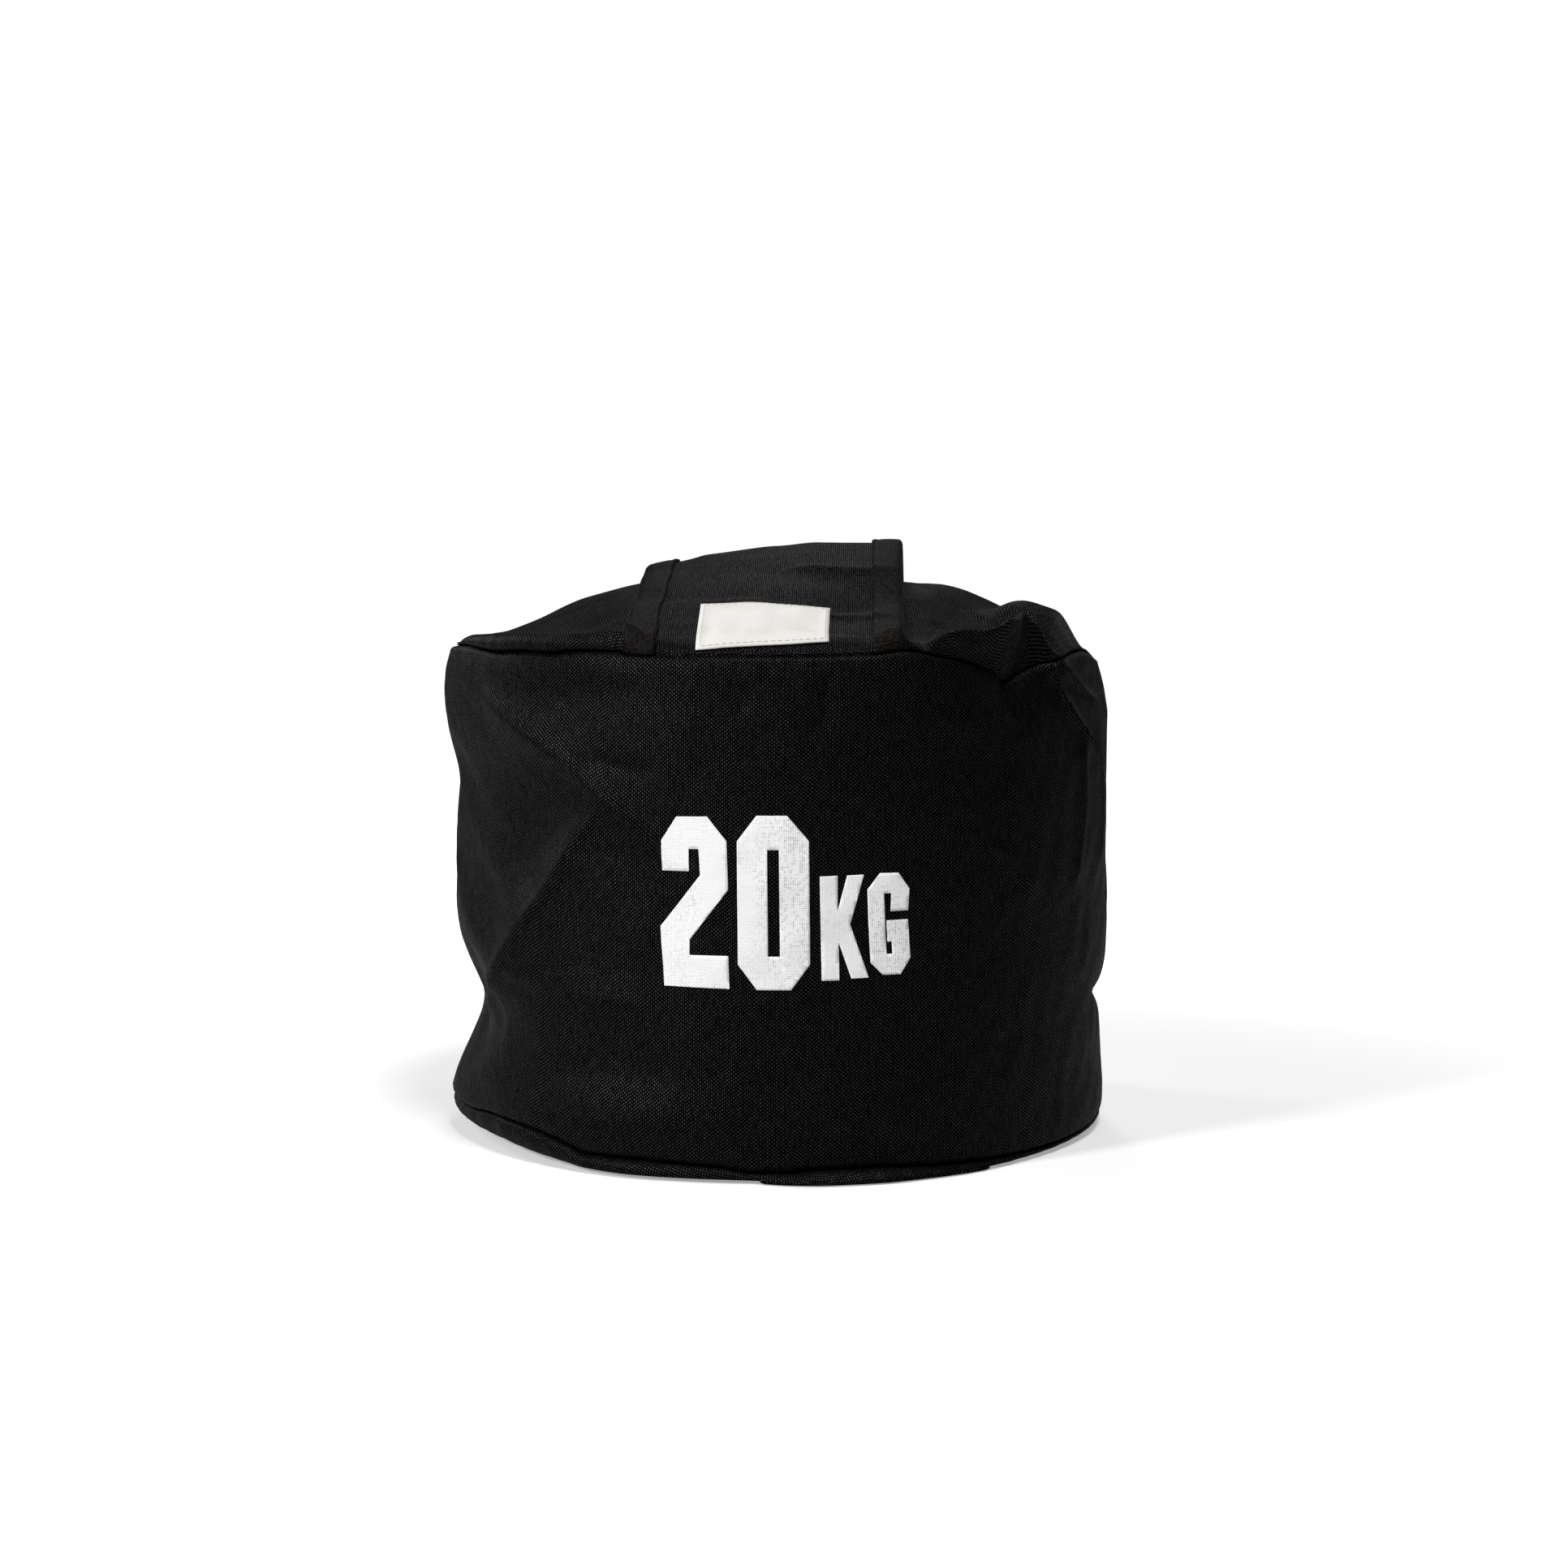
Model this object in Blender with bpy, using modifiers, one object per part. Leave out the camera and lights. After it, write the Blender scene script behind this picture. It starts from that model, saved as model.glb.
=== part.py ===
"""Sandbag trainer: a squat drum of coarse black cloth, filled with dry sand in a tied liner.

The cloth drum is three panels, a side wall, a base and a domed top, sewn together with their
edges turned inside and bound with tape. Sand goes in through a flat sleeve sewn round a slot in
the top. The sleeve folds back and closes with hook and loop, and a wide bound flap, sewn to the
front of the rim, closes over it and grips the rear of the top with hook and loop.

Lengths are in metres and +Z is up. The origin is the centre of the base, on the floor, and the
front of the bag, where the flap is sewn on, faces -Y. Azimuths are in degrees from the front,
positive towards +X.
"""

import math

import bmesh
import bpy
from mathutils import Vector

# Driving sizes of the bag
BAG_RADIUS = 0.145
WALL_HEIGHT = 0.2065
DOME_RISE = 0.027
CLOTH = 0.0012
FIT_GAP = 0.0003
LAY_GAP = 0.0004

# Seams: the cloth turns in with this radius, runs on inside as an allowance, and is bound
SEAM_TURN = 0.0024
SEAM_ALLOWANCE = 0.008
SEAM_TAPE = 0.0006
SEAM_TAPE_REACH = 0.006
BACK_TAPE_WIDTH = 0.026

# The base panel's corner and the top panel's roll, where each bulges out past its seam
BASE_CORNER = 0.005
BASE_INSET = 0.0015
ROLL_RADIUS = 0.0025
ROLL_INSET = 0.0015

# Sand liner
LINER_FILM = 0.0005
LINER_SLACK = 0.0017
SAND_SLACK = 0.0015
LINER_CORNER = 0.042
LINER_SHOULDER = 0.026
LINER_HEADROOM = 0.003
GATHER_RADIUS = 0.006
GATHER_BORE = 0.0015
GATHER_FOOT = 0.034
FRILL_RADIUS = 0.014
FRILL_LENGTH = 0.008
TIE_THICKNESS = 0.0016
TIE_WIDTH = 0.0048
TIE_HEAD = 0.0062

# Filling sleeve and the welt round its slot
NECK_WIDTH = 0.076
NECK_LENGTH = 0.066
NECK_SHIFT = 0.008
NECK_SETBACK = 0.1158
NECK_CLOTH = 0.0008
NECK_STRIP = 0.0008
NECK_STRIP_WIDTH = 0.016
NECK_EDGE = 0.004
SLOT_WIDTH = 0.003
WELT_MARGIN = 0.007
WELT_THICKNESS = 0.0008

# Closure flap
FLAP_WIDTH = 0.110
FLAP_LENGTH = 0.238
FLAP_CLOTH = 0.0016
FLAP_RISE = 0.0365
FLAP_LEFT_DROP = 0.010
FLAP_RIGHT_LIFT = 0.0011
FLAP_STEP_BACK = 0.002
FLAP_SOFTNESS = 0.003
LEFT_DROP_POWER = 1.6
BINDING_WIDTH = 0.012
BINDING_CLOTH = 0.0008
BINDING_START = 0.006
STRIP_CLOTH = 0.0012
STRIP_WIDTH = 0.022
STRIP_MARGIN = 0.003
STRIP_SETBACK = 0.014

# Label sewn on the flap
LABEL_WIDTH = 0.052
LABEL_LENGTH = 0.046
LABEL_CLOTH = 0.0004
LABEL_SHIFT = 0.0045
LABEL_START = 0.0012

# How finely the round and the draped pieces are divided
ROUND_STEPS = 40
LINER_STEPS = 30
WALL_LEVELS = 14
TURN_STEPS = 3
CORNER_STEPS = 3
LINER_ARC_STEPS = 4
NECK_ROWS = 8
FLAP_ROWS = 22
FLAP_COLUMNS = 12

OVERRUN = 0.004
SAMPLE_STEP = 0.002
WELD_DISTANCE = 0.00002

# Top panel from its roll to its middle: (share of the radius there, share of the rise)
DOME_SHARES = (
    (0.93, 0.015),
    (0.846, 0.089),
    (0.79, 0.189),
    (0.731, 0.311),
    (0.66, 0.489),
    (0.588, 0.652),
    (0.51, 0.774),
    (0.43, 0.874),
    (0.36, 0.922),
    (0.287, 0.956),
    (0.143, 0.996),
    (0.0, 1.0),
)

# Where the sleeve's flat walls are divided, as shares of half its width
NECK_COLUMN_SHARES = (-0.95, -0.65, -0.33, 0.0, 0.33, 0.65, 0.95)

# Flap's ridge line from its hinge to its free end: (share of the length, share of the rise)
FLAP_RIDGE_SHARES = (
    (0.0, 0.0),
    (0.06, 0.17),
    (0.12, 0.34),
    (0.185, 0.43),
    (0.26, 0.60),
    (0.34, 0.80),
    (0.40, 0.91),
    (0.46, 0.975),
    (0.54, 1.0),
    (0.62, 0.965),
    (0.70, 0.90),
    (0.764, 0.78),
    (0.83, 0.55),
    (0.90, 0.30),
    (1.0, 0.0),
)

# Shares of the flap's length where its tilt to the left is full, starts to go, and is gone
TILT_SHARES = (0.436, 0.588, 0.865)

# Where the settled bag is pressed in or swells out: (azimuth, its half width, share of the wall
# height, its half width as a share, depth as a share of the radius)
DENT_SHARES = (
    (-84.0, 27.0, 0.243, 0.124, -0.106),
    (-90.0, 34.0, 0.58, 0.21, -0.026),
    (-88.0, 20.0, 0.745, 0.068, -0.026),
    (-52.0, 15.0, 0.50, 0.16, 0.014),
    (-57.0, 14.0, 0.70, 0.12, -0.018),
    (92.0, 22.0, 0.275, 0.055, -0.022),
    (60.0, 26.0, 0.62, 0.22, 0.010),
    (168.0, 26.0, 0.35, 0.16, -0.034),
    (-150.0, 20.0, 0.68, 0.14, -0.026),
    (128.0, 18.0, 0.60, 0.15, -0.022),
)

# Where the top's rim is lifted or pushed down: (azimuth, its half width, share of the radius,
# its half width as a share, lift as a share of the radius)
LUMP_SHARES = (
    (53.0, 17.0, 0.88, 0.17, 0.094),
    (-76.0, 32.0, 0.93, 0.07, 0.022),
    (150.0, 22.0, 0.90, 0.13, 0.040),
    (-140.0, 30.0, 0.92, 0.09, 0.020),
)
SEAM_DIP_SHARES = (
    (40.0, 8.0, -0.040),
    (-128.0, 14.0, -0.020),
    (165.0, 12.0, -0.018),
)
DIP_START_SHARE = 0.80
CALM_CORE_SHARE = 0.25

# Sizes that follow from those above
SEAM_CENTRE_RADIUS = BAG_RADIUS - SEAM_TURN
SEAM_CLEAR = SEAM_TURN + LAY_GAP
ALLOWANCE_RADIUS = BAG_RADIUS - 2 * SEAM_TURN
PANEL_EDGE_RADIUS = ALLOWANCE_RADIUS - LAY_GAP
BASE_CORNER_RADIUS_AT = BAG_RADIUS - BASE_INSET - BASE_CORNER
BASE_OFFSET = SEAM_CENTRE_RADIUS - BASE_CORNER_RADIUS_AT
BASE_SEAM_Z = BASE_CORNER + math.sqrt((BASE_CORNER + SEAM_CLEAR) ** 2 - BASE_OFFSET**2)
TOP_SEAM_Z = WALL_HEIGHT - SEAM_TURN
ROLL_CENTRE_RADIUS = BAG_RADIUS - ROLL_INSET - ROLL_RADIUS
ROLL_OFFSET = SEAM_CENTRE_RADIUS - ROLL_CENTRE_RADIUS
ROLL_CENTRE_Z = TOP_SEAM_Z + math.sqrt((ROLL_RADIUS + SEAM_CLEAR) ** 2 - ROLL_OFFSET**2)
ROLL_TOP_Z = ROLL_CENTRE_Z + ROLL_RADIUS
DOME_TOP_Z = ROLL_TOP_Z + DOME_RISE
NECK_THICKNESS = 2 * NECK_CLOTH + 2 * NECK_STRIP + 3 * FIT_GAP
BINDING_STACK = LAY_GAP + BINDING_CLOTH
FLAP_HALF = FLAP_WIDTH / 2
FLAP_CLOTH_HALF = FLAP_HALF - BINDING_STACK
HINGE_Y = FLAP_STEP_BACK - math.sqrt(ROLL_CENTRE_RADIUS**2 - FLAP_HALF**2)
NECK_ROOT_Y = HINGE_Y + NECK_SETBACK
STRIP_LENGTH = FLAP_WIDTH - 2 * (BINDING_WIDTH + STRIP_MARGIN)
FLAP_END_Y = HINGE_Y + FLAP_LENGTH


# Materials


def cloth_material(name, colour, roughness, sheen=0.0):
    """A plain woven or printed surface."""
    material = bpy.data.materials.new(name)
    material.use_nodes = True
    shader = material.node_tree.nodes["Principled BSDF"]
    shader.inputs["Base Color"].default_value = (*colour, 1.0)
    shader.inputs["Roughness"].default_value = roughness
    shader.inputs["Metallic"].default_value = 0.0
    shader.inputs["Sheen Weight"].default_value = sheen
    return material


def make_materials():
    return {
        "shell": cloth_material("black_shell_cloth", (0.016, 0.016, 0.017), 0.82, 0.2),
        "binding": cloth_material("black_binding_tape", (0.022, 0.021, 0.020), 0.88, 0.2),
        "sleeve": cloth_material("black_sleeve_cloth", (0.020, 0.020, 0.021), 0.80),
        "strip": cloth_material("hook_and_loop", (0.012, 0.012, 0.012), 0.95),
        "label": cloth_material("white_label_cloth", (0.85, 0.84, 0.82), 0.70),
        "liner": cloth_material("clear_grey_liner", (0.50, 0.52, 0.53), 0.35),
        "tie": cloth_material("white_nylon_tie", (0.80, 0.80, 0.78), 0.40),
        "sand": cloth_material("dry_sand", (0.62, 0.50, 0.34), 0.95),
    }


# Outlines


def arc(centre, radius, start, end, steps):
    """Points on an arc in the plane of (radius, height), both ends included, in degrees."""
    points = []
    for i in range(steps + 1):
        angle = math.radians(start + (end - start) * i / steps)
        points.append(
            (centre[0] + radius * math.cos(angle), centre[1] + radius * math.sin(angle))
        )
    return points


def run(start, end, steps):
    """Points on a straight line after its start, its end included."""
    return [
        (
            start[0] + (end[0] - start[0]) * i / steps,
            start[1] + (end[1] - start[1]) * i / steps,
        )
        for i in range(1, steps + 1)
    ]


def inner_side(path, depth):
    """The path moved by depth to its left, which is the inside of the bag."""
    moved = []
    for i, (radius, height) in enumerate(path):
        before = Vector(path[max(i - 1, 0)])
        here = Vector((radius, height))
        after = Vector(path[min(i + 1, len(path) - 1)])
        ways = [way.normalized() for way in (here - before, after - here) if way.length]
        along = sum(ways, Vector((0, 0))).normalized()
        stretch = 1 / max(along.dot(ways[0]), 0.5)
        left = Vector((-along.y, along.x)) * depth * stretch
        moved.append((max(radius + left.x, 0.0), height + left.y))
    return moved


def ribbon(path, thickness):
    """Closed outline of a layer of cloth whose outer face is the path."""
    return path + inner_side(path, thickness)[::-1]


def steps(start, end, count):
    """Evenly spaced values, both ends included."""
    return [start + (end - start) * i / count for i in range(count + 1)]


def between(values, start, end):
    """The start, the values well inside, and the end."""
    inside = [value for value in values if start + OVERRUN < value < end - OVERRUN]
    return [start] + inside + [end]


def smooth_step(value, low, high):
    share = min(max((value - low) / (high - low), 0.0), 1.0)
    return share * share * (3 - 2 * share)


def bell(offset, half_width):
    return math.exp(-((offset / half_width) ** 2))


def turned_apart(azimuth, other):
    """The angle between two azimuths, in degrees."""
    return abs((azimuth - other + 180) % 360 - 180)


# How the filled bag slumps


def wall_shift(azimuth, height):
    """How far the bag's wall stands out from a true drum here."""
    shift = 0.0
    for middle, width, level_share, span_share, depth_share in DENT_SHARES:
        round_way = bell(turned_apart(azimuth, middle), width)
        up_way = bell(height / WALL_HEIGHT - level_share, span_share)
        shift += depth_share * BAG_RADIUS * round_way * up_way
    return shift


def rim_lift(azimuth, radius):
    """How far a lump lifts the top panel here."""
    lift = 0.0
    for middle, width, radius_share, span_share, lift_share in LUMP_SHARES:
        round_way = bell(turned_apart(azimuth, middle), width)
        out_way = bell(radius / BAG_RADIUS - radius_share, span_share)
        lift += lift_share * BAG_RADIUS * round_way * out_way
    return lift


def seam_dip(azimuth):
    """How far the top seam is pushed down here."""
    return sum(
        depth_share * BAG_RADIUS * bell(turned_apart(azimuth, middle), width)
        for middle, width, depth_share in SEAM_DIP_SHARES
    )


def settle(point):
    """Moves a point of the upright drum to where the slumped bag has it."""
    radius = math.hypot(point.x, point.y)
    if radius < WELD_DISTANCE:
        return point.copy()
    azimuth = math.degrees(math.atan2(point.x, -point.y))
    core = smooth_step(radius / BAG_RADIUS, CALM_CORE_SHARE, 1.0)
    moved = radius + wall_shift(azimuth, point.z) * core
    dip = seam_dip(azimuth) * core
    dip *= smooth_step(point.z, DIP_START_SHARE * WALL_HEIGHT, WALL_HEIGHT)
    lift = rim_lift(azimuth, radius) * smooth_step(point.z, WALL_HEIGHT, ROLL_TOP_Z)
    scale = moved / radius
    return Vector((point.x * scale, point.y * scale, point.z + dip + lift))


def dome_rings():
    """The top panel's rings inside its roll, as (radius, height)."""
    return [
        (share * ROLL_CENTRE_RADIUS, ROLL_TOP_Z + rise_share * DOME_RISE)
        for share, rise_share in DOME_SHARES
    ]


def dome_z(x, y):
    """Height of the top panel's outer face here."""
    radius = math.hypot(x, y)
    rings = [(ROLL_CENTRE_RADIUS, ROLL_TOP_Z)] + dome_rings()
    height = ROLL_TOP_Z
    for (outer, low), (inner, high) in zip(rings, rings[1:]):
        if inner <= radius <= outer:
            height = low + (high - low) * (outer - radius) / (outer - inner)
            break
    return settle(Vector((x, y, height))).z


def bracket(values, value):
    """The index of the step that holds the value, and how far along the step it is."""
    i = 0
    while i < len(values) - 2 and value > values[i + 1]:
        i += 1
    return i, (value - values[i]) / (values[i + 1] - values[i])


def faceted(surface, columns, rows):
    """The surface as flat facets over these columns and rows."""
    heights = [[surface(x, y) for y in rows] for x in columns]

    def height(x, y):
        i, s = bracket(columns, x)
        j, t = bracket(rows, y)
        near = heights[i][j] + (heights[i][j + 1] - heights[i][j]) * t
        far = heights[i + 1][j] + (heights[i + 1][j + 1] - heights[i + 1][j]) * t
        return near + (far - near) * s

    return height


def unit_normal(surface, x, y):
    """Upward normal of the surface z = surface(x, y)."""
    slope_x = (surface(x + SAMPLE_STEP, y) - surface(x - SAMPLE_STEP, y)) / SAMPLE_STEP / 2
    slope_y = (surface(x, y + SAMPLE_STEP) - surface(x, y - SAMPLE_STEP)) / SAMPLE_STEP / 2
    return Vector((-slope_x, -slope_y, 1)).normalized()


def lying_on(surface, x, y, lift):
    """The point this far off the surface, along its normal."""
    return Vector((x, y, surface(x, y))) + unit_normal(surface, x, y) * lift


# Making objects


def add_object(name, mesh, material, collection):
    obj = bpy.data.objects.new(name, mesh)
    obj.data.materials.append(material)
    collection.objects.link(obj)
    return obj


def shade(mesh, angle=40):
    mesh.shade_smooth()
    mesh.set_sharp_from_angle(angle=math.radians(angle))


def turned(name, outline, material, collection, steps=ROUND_STEPS, closed=True):
    """A profile turned round the bag's axis, then settled with the rest of the bag."""
    mesh = bpy.data.meshes.new(name)
    count = len(outline)
    edges = [(i, (i + 1) % count) for i in range(count if closed else count - 1)]
    mesh.from_pydata([(radius, 0.0, height) for radius, height in outline], edges, [])
    obj = add_object(name, mesh, material, collection)
    screw = obj.modifiers.new("turn", "SCREW")
    screw.axis = "Z"
    screw.steps = screw.render_steps = steps
    screw.use_merge_vertices = True
    screw.merge_threshold = WELD_DISTANCE
    turned_mesh = apply_modifiers(obj)
    shaped = bmesh.new()
    shaped.from_mesh(turned_mesh)
    bmesh.ops.dissolve_degenerate(shaped, dist=WELD_DISTANCE, edges=shaped.edges)
    for vertex in shaped.verts:
        vertex.co = settle(vertex.co)
    bmesh.ops.recalc_face_normals(shaped, faces=shaped.faces)
    shaped.to_mesh(turned_mesh)
    shaped.free()
    shade(turned_mesh)
    return obj


def apply_modifiers(obj):
    """Replaces the object's mesh with what its modifiers make of it."""
    graph = bpy.context.evaluated_depsgraph_get()
    mesh = bpy.data.meshes.new_from_object(obj.evaluated_get(graph))
    obj.modifiers.clear()
    obj.data = mesh
    mesh.name = obj.name
    return mesh


def draped(name, columns, rows, place, thickness, material, collection, up=False, even=False):
    """A cloth layer: a grid laid where place(column, row) says, made thick on its upper side if
    up is set and otherwise on its lower side. Columns that meet are joined in a tube. A layer
    with sharp folds is made evenly thick."""
    across, along = len(columns) - 1, len(rows) - 1
    grid = bmesh.new()
    bmesh.ops.create_grid(grid, x_segments=across, y_segments=along, size=0.5)
    for vertex in grid.verts:
        column = columns[round((vertex.co.x + 0.5) * across)]
        row = rows[round((vertex.co.y + 0.5) * along)]
        vertex.co = place(column, row)
    bmesh.ops.remove_doubles(grid, verts=grid.verts, dist=WELD_DISTANCE)
    mesh = bpy.data.meshes.new(name)
    grid.to_mesh(mesh)
    grid.free()
    shade(mesh)
    obj = add_object(name, mesh, material, collection)
    solid = obj.modifiers.new("thickness", "SOLIDIFY")
    solid.thickness = thickness
    solid.offset = 1 if up else -1
    solid.use_even_offset = even
    return obj


def cut(obj, cutter):
    boolean = obj.modifiers.new("cut", "BOOLEAN")
    boolean.operation = "DIFFERENCE"
    boolean.solver = "EXACT"
    boolean.object = cutter


# Drum: side wall, base, top and their bindings


def wall_path():
    """Outer face of the side wall, from its lower allowance to its upper one."""
    low = (SEAM_CENTRE_RADIUS, BASE_SEAM_Z)
    high = (SEAM_CENTRE_RADIUS, TOP_SEAM_Z)
    path = [(ALLOWANCE_RADIUS, BASE_SEAM_Z + SEAM_ALLOWANCE)]
    path += run(path[0], (ALLOWANCE_RADIUS, BASE_SEAM_Z), 2)[:-1]
    path += arc(low, SEAM_TURN, 180, 360, TURN_STEPS)
    path += run((BAG_RADIUS, BASE_SEAM_Z), (BAG_RADIUS, TOP_SEAM_Z), WALL_LEVELS)
    path += arc(high, SEAM_TURN, 0, 180, TURN_STEPS)[1:]
    path += run((ALLOWANCE_RADIUS, TOP_SEAM_Z), (ALLOWANCE_RADIUS, TOP_SEAM_Z - SEAM_ALLOWANCE), 2)
    return path


def base_path():
    """Lower face of the base panel, from its middle to the end of its allowance."""
    corner = (BASE_CORNER_RADIUS_AT, BASE_CORNER)
    seam = (SEAM_CENTRE_RADIUS, BASE_SEAM_Z)
    lean = math.degrees(math.atan2(seam[1] - corner[1], seam[0] - corner[0]))
    path = [(0.0, 0.0)] + run((0.0, 0.0), (corner[0], 0.0), 2)[:-1]
    path += arc(corner, BASE_CORNER, -90, lean, CORNER_STEPS)
    path += arc(seam, SEAM_CLEAR, 180 + lean, 180, TURN_STEPS)[1:]
    path += run(path[-1], (PANEL_EDGE_RADIUS, BASE_SEAM_Z + SEAM_ALLOWANCE), 2)
    return path


def top_path():
    """Outer face of the top panel, from the end of its allowance to its middle."""
    seam = (SEAM_CENTRE_RADIUS, TOP_SEAM_Z)
    roll = (ROLL_CENTRE_RADIUS, ROLL_CENTRE_Z)
    lean = math.degrees(math.atan2(roll[1] - seam[1], seam[0] - roll[0]))
    start = (PANEL_EDGE_RADIUS, TOP_SEAM_Z - SEAM_ALLOWANCE)
    path = [start] + run(start, (PANEL_EDGE_RADIUS, TOP_SEAM_Z), 2)
    path += arc(seam, SEAM_CLEAR, 180, 180 - lean, TURN_STEPS)[1:]
    path += arc(roll, ROLL_RADIUS, -lean, 90, CORNER_STEPS)[1:]
    return path + dome_rings()


def tape_outline(edge_z, way):
    """A tape folded round the ends of two allowances. way is 1 where they point up, else -1."""
    inside = PANEL_EDGE_RADIUS - CLOTH - FIT_GAP
    outside = ALLOWANCE_RADIUS + CLOTH + FIT_GAP
    fold = edge_z + way * FIT_GAP
    ends = fold - way * SEAM_TAPE_REACH
    crown = fold + way * SEAM_TAPE
    middle = (fold + ends) / 2
    return [
        (inside - SEAM_TAPE, ends),
        (inside - SEAM_TAPE, middle),
        (inside - SEAM_TAPE, crown),
        (outside + SEAM_TAPE, crown),
        (outside + SEAM_TAPE, middle),
        (outside + SEAM_TAPE, ends),
        (outside, ends),
        (outside, middle),
        (outside, fold),
        (inside, fold),
        (inside, middle),
        (inside, ends),
    ]


def back_tape(materials, collection):
    """Tape over the upright seam inside the back of the side wall."""
    radius = BAG_RADIUS - CLOTH - LAY_GAP
    half_turn = BACK_TAPE_WIDTH / radius / 2
    middle = math.pi / 2
    facet = 2 * math.pi / ROUND_STEPS
    low = BASE_SEAM_Z + SEAM_ALLOWANCE + SEAM_TAPE_REACH
    high = TOP_SEAM_Z - SEAM_ALLOWANCE - SEAM_TAPE_REACH
    rows = between(steps(BASE_SEAM_Z, TOP_SEAM_Z, WALL_LEVELS), low, high)

    def corner(angle, height):
        return settle(Vector((radius * math.cos(angle), radius * math.sin(angle), height)))

    def place(angle, height):
        way = math.copysign(facet, angle - middle)
        share = (angle - middle) / way
        return corner(middle, height).lerp(corner(middle + way, height), share)

    columns = [middle - half_turn, middle, middle + half_turn]
    draped("back_seam_tape", columns, rows, place, SEAM_TAPE, materials["binding"], collection)


def make_drum(materials, collection):
    turned("side_wall", ribbon(wall_path(), CLOTH), materials["shell"], collection)
    turned("bottom_panel", ribbon(base_path(), CLOTH), materials["shell"], collection)
    top = turned("top_panel", ribbon(top_path(), CLOTH), materials["shell"], collection)
    low = tape_outline(BASE_SEAM_Z + SEAM_ALLOWANCE, 1)
    turned("bottom_seam_tape", low, materials["binding"], collection)
    high = tape_outline(TOP_SEAM_Z - SEAM_ALLOWANCE, -1)
    turned("top_seam_tape", high, materials["binding"], collection)
    back_tape(materials, collection)
    return top


# Sand, liner and tie


def liner_path():
    """Outer face of the liner's body, from the middle of its base to the foot of its gather."""
    radius = BAG_RADIUS - CLOTH - LINER_SLACK
    floor = CLOTH + FIT_GAP
    top = TOP_SEAM_Z - LINER_HEADROOM
    low_centre = (radius - LINER_CORNER, floor + LINER_CORNER)
    high_centre = (radius - LINER_SHOULDER, top - LINER_SHOULDER)
    level = (TOP_SEAM_Z - BASE_SEAM_Z) / WALL_LEVELS
    heights = [BASE_SEAM_Z + level * i for i in range(WALL_LEVELS + 1)]
    path = [(0.0, floor)]
    path += arc(low_centre, LINER_CORNER, -90, 0, LINER_ARC_STEPS)
    path += [(radius, z) for z in heights if low_centre[1] + FIT_GAP < z < high_centre[1] - FIT_GAP]
    path += arc(high_centre, LINER_SHOULDER, 0, 90, LINER_ARC_STEPS)
    path.append((GATHER_FOOT, top))
    return path


def gather_heights():
    """Heights of the liner's tie and of the top of its frill, under the top panel."""
    frill_top = DOME_TOP_Z - CLOTH - LAY_GAP
    return frill_top - FRILL_LENGTH, frill_top


def make_filling(materials, collection):
    body = liner_path()
    tie_z, frill_top = gather_heights()
    half_tie = TIE_WIDTH / 2
    gather = [(GATHER_RADIUS, tie_z - half_tie), (GATHER_RADIUS, tie_z + half_tie)]
    outer = body + gather + [(FRILL_RADIUS, frill_top)]
    bore = [(GATHER_BORE, tie_z - half_tie), (GATHER_BORE, frill_top)]
    inner = inner_side(body, LINER_FILM) + bore
    turned("liner_bag", outer + inner[::-1], materials["liner"], collection, LINER_STEPS)

    inside = inner_side(body, LINER_FILM + FIT_GAP)
    sand = [
        (max(radius - SAND_SLACK, 0.0), height - SAND_SLACK * (height > WALL_HEIGHT / 2))
        for radius, height in inside
    ]
    sand.append((0.0, sand[-1][1]))
    turned("sand_fill", sand, materials["sand"], collection, LINER_STEPS, closed=False)

    hole = GATHER_RADIUS + FIT_GAP
    band = [
        (hole, tie_z - half_tie + FIT_GAP),
        (hole + TIE_THICKNESS, tie_z - half_tie + FIT_GAP),
        (hole + TIE_THICKNESS, tie_z + half_tie - FIT_GAP),
        (hole, tie_z + half_tie - FIT_GAP),
    ]
    tie = turned("liner_tie", band, materials["tie"], collection, LINER_STEPS)
    bpy.ops.mesh.primitive_cube_add(size=1)
    head = bpy.context.object
    head.name = "tie_head_shape"
    head.scale = (TIE_HEAD, TIE_HEAD, TIE_WIDTH)
    reach = hole + TIE_THICKNESS / 2 + TIE_HEAD / 2
    head.location = (reach, 0, tie_z)
    hide_helper(head)
    joined = tie.modifiers.new("head", "BOOLEAN")
    joined.operation = "UNION"
    joined.solver = "EXACT"
    joined.object = head


# Filling sleeve


def neck_centre_x():
    return NECK_SHIFT


def welt_half_length():
    return NECK_WIDTH / 2 + NECK_EDGE


def welt_half_width():
    return SLOT_WIDTH / 2 + WELT_MARGIN


def welt_top():
    """Height of the flat top of the welt, over the highest point of the top panel under it."""
    return DOME_TOP_Z + LAY_GAP + WELT_THICKNESS


def neck_under(x, y):
    """Height of the folded sleeve's lower face: on the welt at its root, then on the top."""
    flat = welt_top() + FIT_GAP
    share = smooth_step(y, NECK_ROOT_Y + welt_half_width(), NECK_ROOT_Y + 2 * welt_half_width())
    return flat + (dome_z(x, y) + 2 * LAY_GAP - flat) * share


def neck_columns():
    return [neck_centre_x() + share * NECK_WIDTH / 2 for share in NECK_COLUMN_SHARES]


def neck_rows():
    return steps(NECK_ROOT_Y, NECK_ROOT_Y + NECK_LENGTH, NECK_ROWS)


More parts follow.
